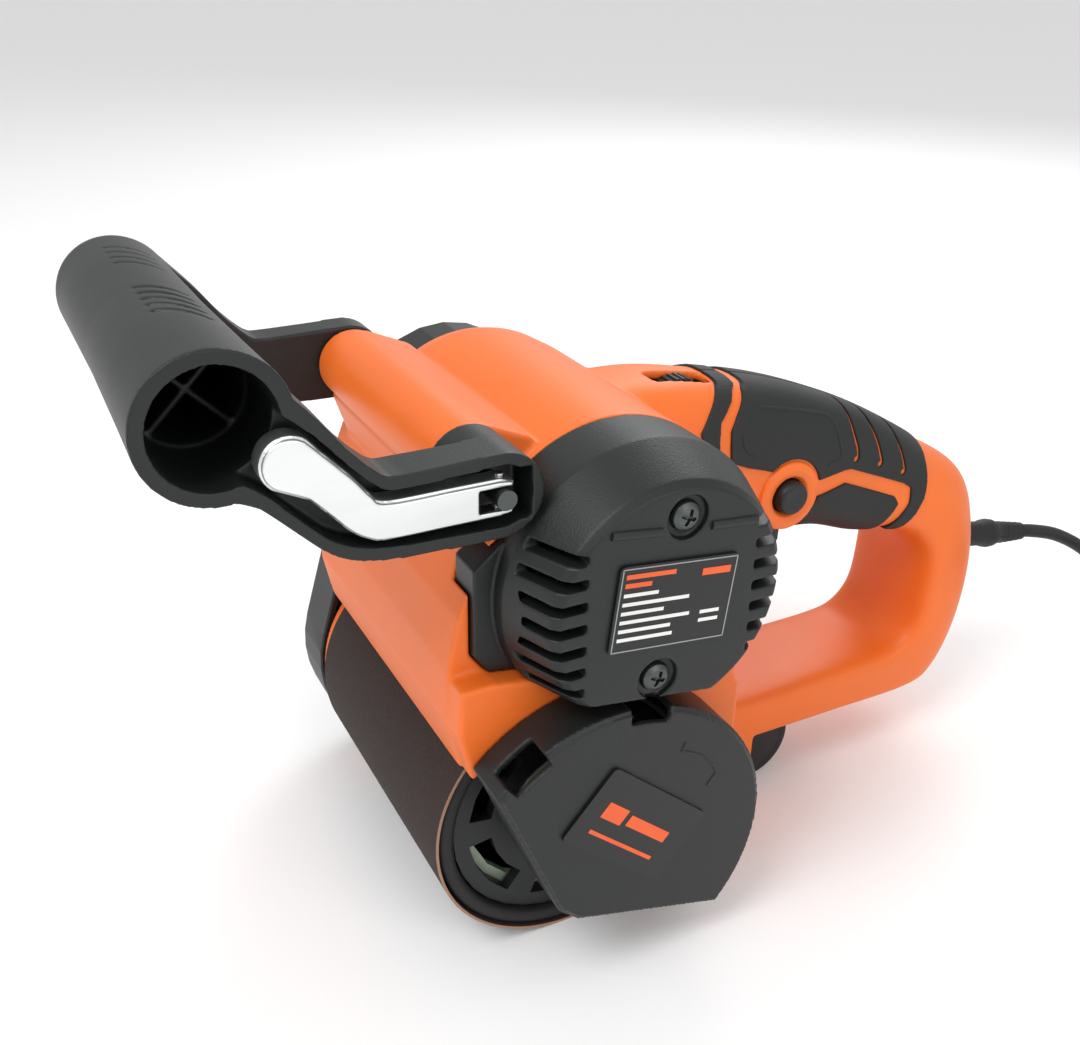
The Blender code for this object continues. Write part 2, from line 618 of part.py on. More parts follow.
def gear_train():
    mesh_angle = math.atan2(GEAR_AXIS[1] - MOTOR_AXIS[1], GEAR_AXIS[0] - MOTOR_AXIS[0])
    pinion = slab("pinion", [gear_outline(MOTOR_AXIS, PINION_PITCH - 0.0002, PINION_TEETH, mesh_angle),
                             arc(MOTOR_AXIS, SHAFT_RADIUS + BORE_GAP, 0.0, 345.0, 24)], 0.0585, 0.0645, STEEL)
    set_origin(pinion, (MOTOR_AXIS[0], 0.0615, MOTOR_AXIS[1]))
    facing = mesh_angle + math.pi + math.pi / GEAR_TEETH
    gear = slab("reduction_gear", [gear_outline(GEAR_AXIS, GEAR_PITCH - 0.0002, GEAR_TEETH, facing),
                                   arc(GEAR_AXIS, SHAFT_RADIUS + BORE_GAP, 0.0, 345.0, 24)],
                0.0588, 0.0642, NYLON)
    set_origin(gear, (GEAR_AXIS[0], 0.0615, GEAR_AXIS[1]))
    disc("gear_shaft", SHAFT_RADIUS, 0.0515, 0.0730, DARK_STEEL, GEAR_AXIS, 24)
    ring("drive_pulley", SMALL_PULLEY, SHAFT_RADIUS + BORE_GAP, 0.0655, 0.0728, ALUMINIUM, GEAR_AXIS, 24)
    ring("drum_pulley", LARGE_PULLEY, 0.0051, 0.0655, 0.0728, ALUMINIUM, DRUM_AXIS, 32)


def drive_belt():
    """Belt loop around the small and the large pulley, on their common tangents."""
    run_x = GEAR_AXIS[0] - DRUM_AXIS[0]
    run_z = GEAR_AXIS[1] - DRUM_AXIS[1]
    heading = math.degrees(math.atan2(run_z, run_x))
    lean = math.degrees(math.acos((LARGE_PULLEY - SMALL_PULLEY) / math.hypot(run_x, run_z)))
    loops = []
    for extra in (BELT_THICK + 0.0003, 0.0003):
        small = arc(GEAR_AXIS, SMALL_PULLEY + extra, heading - lean, heading + lean, 12)
        large = arc(DRUM_AXIS, LARGE_PULLEY + extra, heading + lean, heading + 360.0 - lean, 20)
        loops.append(small + large)
    return slab("drive_belt", loops, 0.0662, 0.0722, RUBBER)


def bearings():
    steps = 16
    ring("armature_bearing_near", BEARING_RADIUS, SHAFT_RADIUS + BORE_GAP, -0.0704, -0.0640, STEEL,
         MOTOR_AXIS, steps)
    ring("armature_bearing_far", BEARING_RADIUS, SHAFT_RADIUS + BORE_GAP, 0.0508, 0.0568, STEEL,
         MOTOR_AXIS, steps)
    ring("gear_shaft_bearing", BEARING_RADIUS, SHAFT_RADIUS + BORE_GAP, 0.0508, 0.0568, STEEL, GEAR_AXIS, steps)
    ring("drum_bearing_near", 0.0110, 0.0051, 0.0120, 0.0190, STEEL, DRUM_AXIS, steps)
    ring("drum_bearing_far", 0.0110, 0.0051, 0.0495, 0.0565, STEEL, DRUM_AXIS, steps)


def brushes():
    """Two carbon brushes in box holders, in front of and behind the commutator."""
    for side, word in ((-1, "front"), (1, "rear")):
        start = MOTOR_AXIS[0] + side * 0.0128
        block(f"carbon_brush_{word}", (start + side * 0.0055, -0.049, MOTOR_AXIS[1]), (0.0110, 0.0080, 0.0060),
              CARBON)
        middle = (start + side * 0.0066, -0.049, MOTOR_AXIS[1])
        holder = block(f"brush_holder_{word}", middle, (0.0096, 0.0110, 0.0090), ALUMINIUM)
        cut(holder, block(f"brush_space_{word}", middle, (0.0200, 0.0084, 0.0064)))


# ---------------------------------------------------------------- drum

def drum():
    edge = 0.0006
    sleeve_in = DRUM_RADIUS - SLEEVE_WALL
    ring("abrasive_sleeve", DRUM_RADIUS, sleeve_in, -DRUM_HALF, DRUM_HALF, ABRASIVE, DRUM_AXIS, 40)
    half = DRUM_HALF - edge
    outside = sleeve_in - 0.0002
    pad_profile = [(0.0387, half), (outside - 0.001, half), (outside, half - 0.001), (outside, -half + 0.002),
                   (outside - 0.002, -half), (0.0387, -half)]
    turned("drum_pad", pad_profile, RUBBER, DRUM_AXIS, 40, hollow=True)
    core_profile = [(0.0350, 0.0480), (0.0384, 0.0480), (0.0384, -0.0470), (0.0200, -0.0470), (0.0200, -0.0430),
                    (0.0350, -0.0430)]
    core = turned("drum_core", core_profile, BLACK, DRUM_AXIS, 32, hollow=True)
    for index in range(6):
        start = 60.0 * index + 8.0
        window = arc(DRUM_AXIS, 0.0335, start, start + 44.0, 4) + arc(DRUM_AXIS, 0.0262, start + 44.0, start, 4)
        cut(core, slab("core_window", [window], -0.050, -0.040))
    hub_profile = [(0.0054, 0.0080), (0.0095, 0.0080), (0.0095, -0.0460), (0.0054, -0.0460)]
    hub = turned("drum_hub", hub_profile, NYLON, DRUM_AXIS, 16, hollow=True)
    join(hub, ring("hub_rim", 0.0345, 0.0310, -0.0420, -0.0390, axis=DRUM_AXIS, steps=20))
    join(hub, ring("hub_ring", 0.0197, 0.0165, -0.0480, -0.0394, axis=DRUM_AXIS, steps=16))
    for index in range(6):
        angle = math.radians(60.0 * index + 7.0)
        centre = (DRUM_AXIS[0] + 0.0200 * math.cos(angle), -0.0405, DRUM_AXIS[1] + 0.0200 * math.sin(angle))
        join(hub, block("hub_spoke", centre, (0.0240, 0.0036, 0.0040), tilt=-angle))
    disc("drum_shaft", 0.0050, -0.0455, 0.0728, DARK_STEEL, DRUM_AXIS, 24)
    nut_outline = arc(DRUM_AXIS, 0.0085, 0.0, 300.0, 6)
    nut = slab("drum_nut", [nut_outline], -0.0520, -0.0463, STEEL)
    set_origin(nut, (DRUM_AXIS[0], -0.0490, DRUM_AXIS[1]))


# ---------------------------------------------------------------- covers

def chord_outline(radius, chord, inset=0.0):
    """Round guard outline with a front chord, a bottom chord and a cut corner between them."""
    front = math.radians(156.0 + 48.0)
    low = math.radians(252.6)
    reach = chord - inset
    round_radius = radius - inset
    swing = math.acos(reach / round_radius)
    rim = arc(DRUM_AXIS, round_radius, math.degrees(low + swing) - 360.0, math.degrees(front - swing), 27)
    meet = Vector((math.cos((front + low) / 2), math.sin((front + low) / 2))) * (reach + 0.0012)
    across = Vector((-meet.y, meet.x)).normalized() * 0.0042
    centre = Vector(DRUM_AXIS)
    corner = [centre + meet - across, centre + meet + across]
    return rim + [(point.x, point.y) for point in corner]


def side_cover():
    """Turnable guard over the drum's near end."""
    cover = slab("side_cover", [chord_outline(COVER_RADIUS, COVER_CHORD)], -0.0750, -0.0585, BLACK)
    bevel(cover, 0.0012, 1, 60.0)
    pocket = slab("cover_pocket", [chord_outline(COVER_RADIUS, COVER_CHORD, 0.0021)], -0.0728, -0.050)
    cut(cover, pocket, ring("rail_space", 0.0486, 0.0400, -0.0602, -0.0500, axis=DRUM_AXIS, steps=30))
    for start in (125.0, 79.0):
        width = 15.0
        window = (arc(DRUM_AXIS, 0.0560, start - width / 2, start + width / 2, 3)
                  + arc(DRUM_AXIS, 0.0485, start + width / 2, start - width / 2, 3))
        cut(cover, slab("cover_window", [window], -0.0745, -0.0650))
    set_origin(cover, (DRUM_AXIS[0], -0.0665, DRUM_AXIS[1]))
    badge = block("cover_badge", (0.0, -0.0756, 0.0), (0.0430, 0.0006, 0.0255), LABEL)
    badge.location = (DRUM_AXIS[0] + 0.006, LABEL_FACE - GAP - 0.0003, DRUM_AXIS[1] + 0.0107)
    badge.rotation_euler = (0.0, math.radians(41.0), 0.0)
    set_origin(badge, (DRUM_AXIS[0], LABEL_FACE - GAP - 0.0003, DRUM_AXIS[1]))


def stadium(grow):
    """Outline round the drum pulley and the motor shaft."""
    low_radius = 0.0440 + grow
    high_radius = 0.0340 + grow
    run_x = MOTOR_AXIS[0] - DRUM_AXIS[0]
    run_z = MOTOR_AXIS[1] - DRUM_AXIS[1]
    heading = math.degrees(math.atan2(run_z, run_x))
    lean = math.degrees(math.acos((low_radius - high_radius) / math.hypot(run_x, run_z)))
    return (arc(MOTOR_AXIS, high_radius, heading - lean, heading + lean, 12)
            + arc(DRUM_AXIS, low_radius, heading + lean, heading + 360.0 - lean, 22))


def belt_cover():
    """Black cover over the gears and the belt on the far side."""
    cover = slab("belt_cover", [stadium(0.0)], CHEEK_FAR + GAP, BELT_COVER_FAR, BLACK)
    bevel(cover, 0.0025, 1, 60.0)
    cut(cover, slab("belt_space", [stadium(-0.0025)], 0.050, BELT_COVER_FAR - 0.0022))
    for index, centre in enumerate(BELT_COVER_SCREWS):
        join(cover, disc(f"cover_post_{index}", 0.0040, CHEEK_FAR + GAP, 0.0750, axis=centre, steps=16))
    for index, centre in enumerate(BELT_COVER_SCREWS):
        cut(cover, disc(f"cover_hole_{index}", 0.0021, 0.040, 0.090, axis=centre, steps=12))
    for index, centre in enumerate(BELT_COVER_SCREWS):
        screw(f"belt_cover_screw_{index + 1}", centre, BELT_COVER_FAR + GAP, BELT_COVER_FAR + 0.0022,
              shank=0.0175, toward=-1, head=0.0038)


# ---------------------------------------------------------------- rear roller

def rear_roller():
    """Two closed rollers on one axle, one each side of the hanger."""
    edge = 0.0015
    start = HANGER_HALF + GAP
    half = [(0.0, ROLLER_HALF), (ROLLER_RADIUS - edge, ROLLER_HALF), (ROLLER_RADIUS, ROLLER_HALF - edge),
            (ROLLER_RADIUS, start + edge), (ROLLER_RADIUS - edge, start), (0.0032, start),
            (0.0032, ROLLER_HALF - 0.0030), (0.0, ROLLER_HALF - 0.0030)]
    mirrored = [(radius, -along) for radius, along in reversed(half)]
    turned("rear_roller_near", mirrored, RUBBER, ROLLER_AXIS, 28)
    turned("rear_roller_far", half, RUBBER, ROLLER_AXIS, 28)
    disc("rear_axle", 0.0030, -0.0140, 0.0140, DARK_STEEL, ROLLER_AXIS, 16)


# ---------------------------------------------------------------- front handle

ARM_LOWER = [(-0.0950, 0.1720), (-0.0900, 0.1700), (-0.0860, 0.1670), (-0.0750, 0.1560), (-0.0690, 0.1520),
             (-0.0620, 0.1500), (-0.0530, 0.1490)]
ARM_UPPER = [(-0.0500, 0.1710), (-0.0560, 0.1710), (-0.0600, 0.1722), (-0.0670, 0.1790), (-0.0740, 0.1880),
             (-0.0840, 0.1990)]
HUB_RADIUS = 0.0115


def arm_outline():
    return ARM_LOWER + arc(HANDLE_AXIS, HUB_RADIUS, -90.0, 90.0, 10) + ARM_UPPER


RECESS_LOWER = [(-0.0920, 0.1760), (-0.0860, 0.1715), (-0.0750, 0.1600), (-0.0690, 0.1558), (-0.0620, 0.1535),
                (-0.0530, 0.1525)]
RECESS_UPPER = [(-0.0510, 0.1672), (-0.0580, 0.1675), (-0.0620, 0.1700), (-0.0680, 0.1760), (-0.0750, 0.1840),
                (-0.0840, 0.1920)]


def recess_outline():
    return RECESS_LOWER + arc(HANDLE_AXIS, 0.0083, -90.0, 90.0, 9) + RECESS_UPPER


def front_handle():
    """Bail handle: a tapered tube grip between two cranked arms."""
    arm = slab("front_handle", [arm_outline()], -0.0600, -0.0480, BLACK)
    far_arm = slab("far_arm", [arm_outline()], 0.0500, 0.0600)
    tube_profile = [(0.0, 0.0602), (0.0125, 0.0600), (0.0150, 0.0585), (0.0159, 0.0550), (0.0162, 0.0),
                    (0.0172, -0.0400), (0.0178, -0.0600), (0.0, -0.0600)]
    join(arm, far_arm, turned("handle_tube", tube_profile, None, GRIP_AXIS, 40))
    join(arm, disc("near_hub", HUB_RADIUS - 0.0002, -0.0500, BOSS_NEAR - GAP, axis=HANDLE_AXIS, steps=24))
    cut(arm, disc("tube_mouth", 0.0140, -0.0620, -0.0330, axis=GRIP_AXIS, steps=20))
    deep = disc("tube_depth", 0.0132, -0.0330 - 0.0001, 0.0500, axis=GRIP_AXIS, steps=20)
    for tilt in (math.radians(45.0), math.radians(-45.0)):
        cut(deep, block("tube_rib", (GRIP_AXIS[0], 0.010, GRIP_AXIS[1]), (0.040, 0.120, 0.0016), tilt=tilt))
    cut(arm, deep)
    cut(arm, slab("arm_recess", [recess_outline()], -0.0620, -0.0525))
    cut(arm, block("arm_cam_space", (HANDLE_AXIS[0], -0.0560, HANDLE_AXIS[1]), (0.0160, 0.0130, 0.0140)))
    cut(arm, disc("arm_rod_bore", 0.0028, -0.065, 0.065, axis=HANDLE_AXIS, steps=16))
    set_origin(arm, (HANDLE_AXIS[0], 0.0, HANDLE_AXIS[1]))


LEVER_OUTLINE_LOW = [(-0.0590, 0.1550), (-0.0640, 0.1564), (-0.0680, 0.1592), (-0.0770, 0.1690)]
LEVER_OUTLINE_HIGH = [(-0.0735, 0.1800), (-0.0670, 0.1730), (-0.0630, 0.1680), (-0.0590, 0.1652)]
LEVER_PAD = (-0.0810, 0.1784)


def cam_lever():
    """Quick-release lever with a forked cam end round the clamp rod."""
    pad = arc(LEVER_PAD, 0.0068, 235.0, 50.0, 12)
    outline = ([(-0.0255, 0.1650), (-0.0255, 0.1550)] + LEVER_OUTLINE_LOW + pad + LEVER_OUTLINE_HIGH)
    lever = slab("cam_lever", [outline], -0.0610, -0.0545, STEEL)
    cut(lever, block("lever_fork", (-0.0291, -0.0570, 0.1600), (0.0134, 0.0200, 0.0062)))
    cut(lever, bar("lever_pin_hole", (HANDLE_AXIS[0], -0.057, 0.148), (HANDLE_AXIS[0], -0.057, 0.172), 0.0015,
                   segments=12))
    set_origin(lever, (HANDLE_AXIS[0], -0.057, HANDLE_AXIS[1]))
    pin = bar("cross_pin", (HANDLE_AXIS[0], -0.057, 0.1545), (HANDLE_AXIS[0], -0.057, 0.1655), 0.0013, STEEL, 12)
    set_origin(pin, (HANDLE_AXIS[0], -0.057, HANDLE_AXIS[1]))


def clamp_rod():
    rod = disc("clamp_rod", 0.0027, -0.0624, 0.0640, DARK_STEEL, HANDLE_AXIS, 16)
    cut(rod, bar("rod_pin_hole", (HANDLE_AXIS[0], -0.057, 0.148), (HANDLE_AXIS[0], -0.057, 0.172), 0.0015,
                 segments=12))
    nut_profile = [(0.0028, 0.0660), (0.0070, 0.0660), (0.0085, 0.0645), (0.0085, 0.0603), (0.0028, 0.0603)]
    turned("clamp_nut", nut_profile, BLACK, HANDLE_AXIS, 24, hollow=True)


# ---------------------------------------------------------------- controls

def controls():
    trigger = slab("trigger", [[(0.0790, 0.1060), (0.0790, 0.0965), (0.0860, 0.0905), (0.0975, 0.0895),
                                (0.1020, 0.0935), (0.1025, 0.1035), (0.0985, 0.1060)]], -0.0088, 0.0088, BLACK)
    bevel(trigger, 0.0008, 2, 40.0)
    set_origin(trigger, (TRIGGER_AXIS[0], 0.0, TRIGGER_AXIS[1]))
    block("switch_body", (0.0960, 0.0005, 0.1180), (0.0300, 0.0170, 0.0190), BLACK)
    button_profile = [(0.0, -0.0125), (0.0058, -0.0125), (0.0058, -0.0215), (0.0048, -0.0225), (0.0, -0.0225)]
    turned("lock_button", button_profile, BLACK, BUTTON_AXIS, 24)
    disc("speed_dial", 0.0098, -0.0070, -0.0010, BLACK, DIAL_AXIS, 30)
    block("speed_controller", (0.0640, -0.0040, 0.1330), (0.0260, 0.0220, 0.0120), BLACK)


def housing_screws():
    """Two screws that close the D-handle; their posts stand inside the halves."""
    far = 0.0165
    for index, centre in enumerate(HOUSING_SCREWS):
        seat = disc(f"screw_seat_{index}", 0.0040, far, 0.0300, axis=centre, steps=12)
        hole = disc(f"screw_hole_{index}", 0.0021, -0.0120, 0.0300, axis=centre, steps=12)
        cut(bpy.data.objects["housing_far"], seat, hole, solver=HOUSING_SOLVER)
        cut(bpy.data.objects["housing_near"], hole, solver=HOUSING_SOLVER)
        screw(f"housing_screw_{index + 1}", centre, far + GAP, far + 0.0025, shank=0.0240, toward=-1, head=0.0035)


# ---------------------------------------------------------------- cord

EXIT_SLOPE = math.radians(-10.0)
CORD_ROUTE = [
    (0.2380, 0.0, 0.0638),
    (0.2445, 0.0, 0.0625),
    (0.2600, 0.0, 0.0575),
    (0.2760, -0.0010, 0.0490),
    (0.2920, -0.0035, 0.0370),
    (0.3060, -0.0070, 0.0240),
    (0.3190, -0.0100, 0.0120),
    (0.3330, -0.0125, 0.0045),
    (0.3480, -0.0160, 0.0030),
    (0.3590, -0.0215, 0.0029),
]


def spline_points(route, count):
    """Evenly read points of a smooth curve through the route."""
    points = [Vector(point) for point in route]
    ends = [points[0] * 2 - points[1]] + points + [points[-1] * 2 - points[-2]]
    result = []
    for index in range(count):
        place = (len(points) - 1) * index / (count - 1)
        step = min(int(place), len(points) - 2)
        t = place - step
        a, b, c, d = ends[step:step + 4]
        result.append(0.5 * (2 * b + (c - a) * t + (2 * a - 5 * b + 4 * c - d) * t * t
                             + (3 * b - a - 3 * c + d) * t * t * t))
    return result


def tube(name, route, radius, mat):
    curve = bpy.data.curves.new(name, "CURVE")
    curve.dimensions = "3D"
    curve.bevel_depth = radius
    curve.bevel_resolution = 2
    curve.use_fill_caps = True
    spline = curve.splines.new("POLY")
    spline.points.add(len(route) - 1)
    for point, place in zip(spline.points, route):
        point.co = (*place, 1.0)
    return curve_body(name, curve, (0.0, 0.0, 0.0), (0.0, 0.0, 0.0), mat)


def cord_gland():
    """Moulded strain relief: a collar inside the handle's rear wall, a neck, a bead and a tapered tail."""
    profile = [(0.0, 0.0), (0.0085, 0.0), (0.0085, -0.0030), (0.0050, -0.0032), (0.0049, -0.0170),
               (0.0057, -0.0200), (0.0057, -0.0235), (0.0046, -0.0270), (0.0036, -0.0420), (0.0, -0.0420)]
    start = (0.1962, 0.0, 0.0712)
    gland = turned("cord_gland", profile, RUBBER, (0.0, 0.0), 24)
    gland.rotation_euler = (0.0, -math.pi / 2 - EXIT_SLOPE, 0.0)
    gland.location = start
    seat = [(0.0, 0.0003), (0.0088, 0.0003), (0.0088, -0.0033), (0.0054, -0.0033), (0.0054, -0.0300),
            (0.0, -0.0300)]
    hole = turned("gland_seat", seat, None, (0.0, 0.0), 20)
    hole.rotation_euler = gland.rotation_euler
    hole.location = start
    for name in ("housing_near", "housing_far"):
        cut(bpy.data.objects[name], hole, solver=HOUSING_SOLVER)


def cord():
    tube("cord", spline_points(CORD_ROUTE, 28), CORD_RADIUS, RUBBER)
    half = COIL_HALF
    profile = [(COIL_MEAN + half * math.cos(a), half + half * math.sin(a))
               for a in [math.radians(90.0 - 45.0 * i) for i in range(8)]]
    coil = turned("cord_coil", profile, RUBBER, steps=28, hollow=True)
    coil.rotation_euler = (0.0, 0.0, 0.0)
    coil.location = (COIL_CENTRE[0], COIL_CENTRE[1], 0.0)


PLUG_CENTRE = (0.326, -0.1230, 0.0085)


def plug():
    """Flat two-pin mains plug lying beside the coil, its pins moulded in."""
    body = block("plug", PLUG_CENTRE, (0.0360, 0.0350, 0.0165), BLACK)
    bevel(body, 0.0035, 3)
    for index, offset in enumerate((-0.0095, 0.0095)):
        start = (PLUG_CENTRE[0] - 0.0120, PLUG_CENTRE[1] + offset, PLUG_CENTRE[2])
        end = (PLUG_CENTRE[0] - 0.0370, PLUG_CENTRE[1] + offset, PLUG_CENTRE[2])
        join(body, bar(f"plug_pin_{index + 1}", start, end, 0.0020, segments=12))


def shade_all():
    for obj in SANDER.objects:
        if obj.type == "MESH" and obj.data.polygons:
            smooth(obj)


housing()
end_cap()
cap_details()
stator()
armature()
gear_train()
drive_belt()
bearings()
brushes()
drum()
side_cover()
belt_cover()
rear_roller()
front_handle()
cam_lever()
clamp_rod()
controls()
housing_screws()
cord_gland()
cord()
plug()
shade_all()
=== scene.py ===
"""Visual model of the handheld drum sander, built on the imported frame.

Pieces are modelled in design coordinates, with the middle of the drum at x = 0, y = 0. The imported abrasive
sleeve gives the offset to the frame, and place() moves each piece by it. +X runs to the cord, -Y is the label
side, +Z is up, and lengths are in metres.
"""
import math

import bmesh
import bpy
from mathutils import Matrix, Vector
from mathutils.bvhtree import BVHTree


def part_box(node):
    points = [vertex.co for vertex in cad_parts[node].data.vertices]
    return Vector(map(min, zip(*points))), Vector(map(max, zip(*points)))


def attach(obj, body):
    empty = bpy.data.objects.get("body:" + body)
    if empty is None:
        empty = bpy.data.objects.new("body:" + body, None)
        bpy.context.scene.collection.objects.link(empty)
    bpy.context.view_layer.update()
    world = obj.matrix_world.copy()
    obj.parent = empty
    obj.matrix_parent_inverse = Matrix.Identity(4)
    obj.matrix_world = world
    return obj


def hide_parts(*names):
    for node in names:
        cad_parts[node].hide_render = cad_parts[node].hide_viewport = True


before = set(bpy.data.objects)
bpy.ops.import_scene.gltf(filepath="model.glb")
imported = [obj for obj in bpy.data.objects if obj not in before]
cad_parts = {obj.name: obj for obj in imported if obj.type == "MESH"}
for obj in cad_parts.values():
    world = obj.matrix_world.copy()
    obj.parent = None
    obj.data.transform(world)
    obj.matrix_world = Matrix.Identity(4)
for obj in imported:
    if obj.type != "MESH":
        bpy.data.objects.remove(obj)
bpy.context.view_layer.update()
SLEEVE_LOW, SLEEVE_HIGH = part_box("abrasive_sleeve")
OFFSET = Vector(((SLEEVE_LOW[0] + SLEEVE_HIGH[0]) / 2, (SLEEVE_LOW[1] + SLEEVE_HIGH[1]) / 2, 0.0))

# Axes that run along Y, as (x, z)
DRUM = (0.0, 0.045)
MOTOR = (0.013, 0.126)
BOSS = (-0.029, 0.160)
GRIP = (-0.096, 0.189)
ROLLER = (0.0944, 0.0162)
BUTTON = (0.096, 0.117)
DIAL = (0.058, 0.150)

# ---------------------------------------------------------------- camera, light and floor

# The camera in design coordinates: where it stands and its own three axes
CAMERA_PLACE = Vector((-0.14386, -0.29442, 0.28506))
CAMERA_RIGHT = Vector((0.88640, -0.46256, 0.01838))
CAMERA_UP = Vector((0.19404, 0.40730, 0.89245))
CAMERA_BACK = Vector((-0.42030, -0.78749, 0.45078))
LENS_MM = 39.67
SENSOR_MM = 36.0

# Name, place, width of the disc, power in watts
LAMPS = [("key", (-0.75, -0.25, 1.15), 0.7, 8.6),
         ("front", (0.25, -1.2, 0.75), 0.9, 4.0),
         ("rear", (0.9, 0.9, 1.0), 0.8, 6.5)]
LAMP_TARGET = Vector((0.0, 0.0, 0.1))
WORLD_STRENGTH = 0.74
FLOOR_REACH = 40.0


def camera():
    data = bpy.data.cameras.new("camera")
    data.sensor_width = SENSOR_MM
    data.lens = LENS_MM
    data.clip_start = 0.01
    eye = bpy.data.objects.new("camera", data)
    turn = Matrix((CAMERA_RIGHT, CAMERA_UP, CAMERA_BACK)).transposed().to_4x4()
    eye.matrix_world = Matrix.Translation(CAMERA_PLACE + OFFSET) @ turn
    bpy.context.scene.collection.objects.link(eye)
    bpy.context.scene.camera = eye


def lamp(name, spot, size, power):
    data = bpy.data.lights.new(name, "AREA")
    data.shape = "DISK"
    data.size = size
    data.energy = power
    obj = bpy.data.objects.new(name, data)
    obj.location = spot
    obj.rotation_euler = (LAMP_TARGET - Vector(spot)).to_track_quat("-Z", "Y").to_euler()
    bpy.context.scene.collection.objects.link(obj)


def studio():
    bpy.context.scene.view_settings.view_transform = "Standard"
    world = bpy.data.worlds.new("studio")
    world.use_nodes = True
    background = world.node_tree.nodes["Background"]
    background.inputs["Color"].default_value = (1.0, 1.0, 1.0, 1.0)
    background.inputs["Strength"].default_value = WORLD_STRENGTH
    bpy.context.scene.world = world
    for name, spot, size, power in LAMPS:
        lamp(name, spot, size, power)
    floor = bpy.data.meshes.new("floor")
    corners = [(x * FLOOR_REACH, y * FLOOR_REACH, 0) for x, y in ((-1, -1), (1, -1), (1, 1), (-1, 1))]
    floor.from_pydata(corners, [], [(0, 1, 2, 3)])
    plane = bpy.data.objects.new("floor", floor)
    bpy.context.scene.collection.objects.link(plane)
    mat, shader, nodes, links = base_material("floor_paint", (0.93, 0.93, 0.93), 0.85)
    add_noise(nodes, links, shader, 30.0, 0.05, 0.0001)
    floor.materials.append(mat)


# ---------------------------------------------------------------- materials

def base_material(name, colour, roughness, metallic=0.0):
    mat = bpy.data.materials.new(name)
    mat.use_nodes = True
    nodes = mat.node_tree.nodes
    shader = nodes["Principled BSDF"]
    shader.inputs["Base Color"].default_value = (*colour, 1.0)
    shader.inputs["Roughness"].default_value = roughness
    shader.inputs["Metallic"].default_value = metallic
    return mat, shader, nodes, mat.node_tree.links


def add_noise(nodes, links, shader, scale, strength, distance, stretch=(1.0, 1.0, 1.0)):
    """Add a bump of fine noise in object space, and return the mapping that it uses."""
    coords = nodes.new("ShaderNodeTexCoord")
    mapping = nodes.new("ShaderNodeMapping")
    mapping.inputs["Scale"].default_value = stretch
    links.new(coords.outputs["Object"], mapping.inputs["Vector"])
    noise = nodes.new("ShaderNodeTexNoise")
    noise.inputs["Scale"].default_value = scale
    noise.inputs["Detail"].default_value = 3.0
    links.new(mapping.outputs["Vector"], noise.inputs["Vector"])
    bump = nodes.new("ShaderNodeBump")
    bump.inputs["Strength"].default_value = strength
    bump.inputs["Distance"].default_value = distance
    links.new(noise.outputs["Fac"], bump.inputs["Height"])
    links.new(bump.outputs["Normal"], shader.inputs["Normal"])
    return mapping


def add_variation(nodes, links, shader, mapping, colour, spread, roughness, rough_spread, scale=35.0):
    """Broad changes of colour and roughness, as from handling and moulding."""
    broad = nodes.new("ShaderNodeTexNoise")
    broad.inputs["Scale"].default_value = scale
    broad.inputs["Detail"].default_value = 5.0
    links.new(mapping.outputs["Vector"], broad.inputs["Vector"])
    ramp = nodes.new("ShaderNodeValToRGB")
    ramp.color_ramp.elements[0].position = 0.35
    ramp.color_ramp.elements[1].position = 0.65
    ramp.color_ramp.elements[0].color = (*[c * (1.0 - spread) for c in colour], 1.0)
    ramp.color_ramp.elements[1].color = (*[min(1.0, c * (1.0 + spread)) for c in colour], 1.0)
    links.new(broad.outputs["Fac"], ramp.inputs["Fac"])
    links.new(ramp.outputs["Color"], shader.inputs["Base Color"])
    rough = nodes.new("ShaderNodeMapRange")
    rough.inputs["To Min"].default_value = roughness - rough_spread
    rough.inputs["To Max"].default_value = roughness + rough_spread
    links.new(broad.outputs["Fac"], rough.inputs["Value"])
    links.new(rough.outputs["Result"], shader.inputs["Roughness"])


GRAINS_PER_METRE = 2400.0


def moulded_plastic(name, colour, roughness, grain, strength, depth=0.00012, spread=0.05):
    """Plastic, rubber or print with the fine grain of its mould or film."""
    mat, shader, nodes, links = base_material(name, colour, roughness)
    mapping = add_noise(nodes, links, shader, grain, strength, depth)
    add_variation(nodes, links, shader, mapping, colour, spread, roughness, 0.07)
    shader.inputs["Specular IOR Level"].default_value = 0.42
    return mat


def metal(name, colour, roughness, grain, stretch, strength=0.12):
    """Metal with a fine grain, drawn out along one axis where it is brushed, turned or wound."""
    mat, shader, nodes, links = base_material(name, colour, roughness, 1.0)
    mapping = add_noise(nodes, links, shader, grain, strength, 0.00006, stretch)
    add_variation(nodes, links, shader, mapping, colour, 0.08, roughness, 0.09, 60.0)
    return mat


def grit(name, colour):
    """Abrasive cloth: packed grains with dark and light specks."""
    mat, shader, nodes, links = base_material(name, colour, 0.85)
    coords = nodes.new("ShaderNodeTexCoord")
    cells = nodes.new("ShaderNodeTexVoronoi")
    cells.inputs["Scale"].default_value = GRAINS_PER_METRE
    links.new(coords.outputs["Object"], cells.inputs["Vector"])
    ramp = nodes.new("ShaderNodeValToRGB")
    ramp.color_ramp.elements[0].color = (*[c * 0.45 for c in colour], 1.0)
    ramp.color_ramp.elements[1].color = (*[c * 2.1 for c in colour], 1.0)
    links.new(cells.outputs["Distance"], ramp.inputs["Fac"])
    links.new(ramp.outputs["Color"], shader.inputs["Base Color"])
    bump = nodes.new("ShaderNodeBump")
    bump.inputs["Strength"].default_value = 0.8
    bump.inputs["Distance"].default_value = 0.0003
    links.new(cells.outputs["Distance"], bump.inputs["Height"])
    links.new(bump.outputs["Normal"], shader.inputs["Normal"])
    return mat


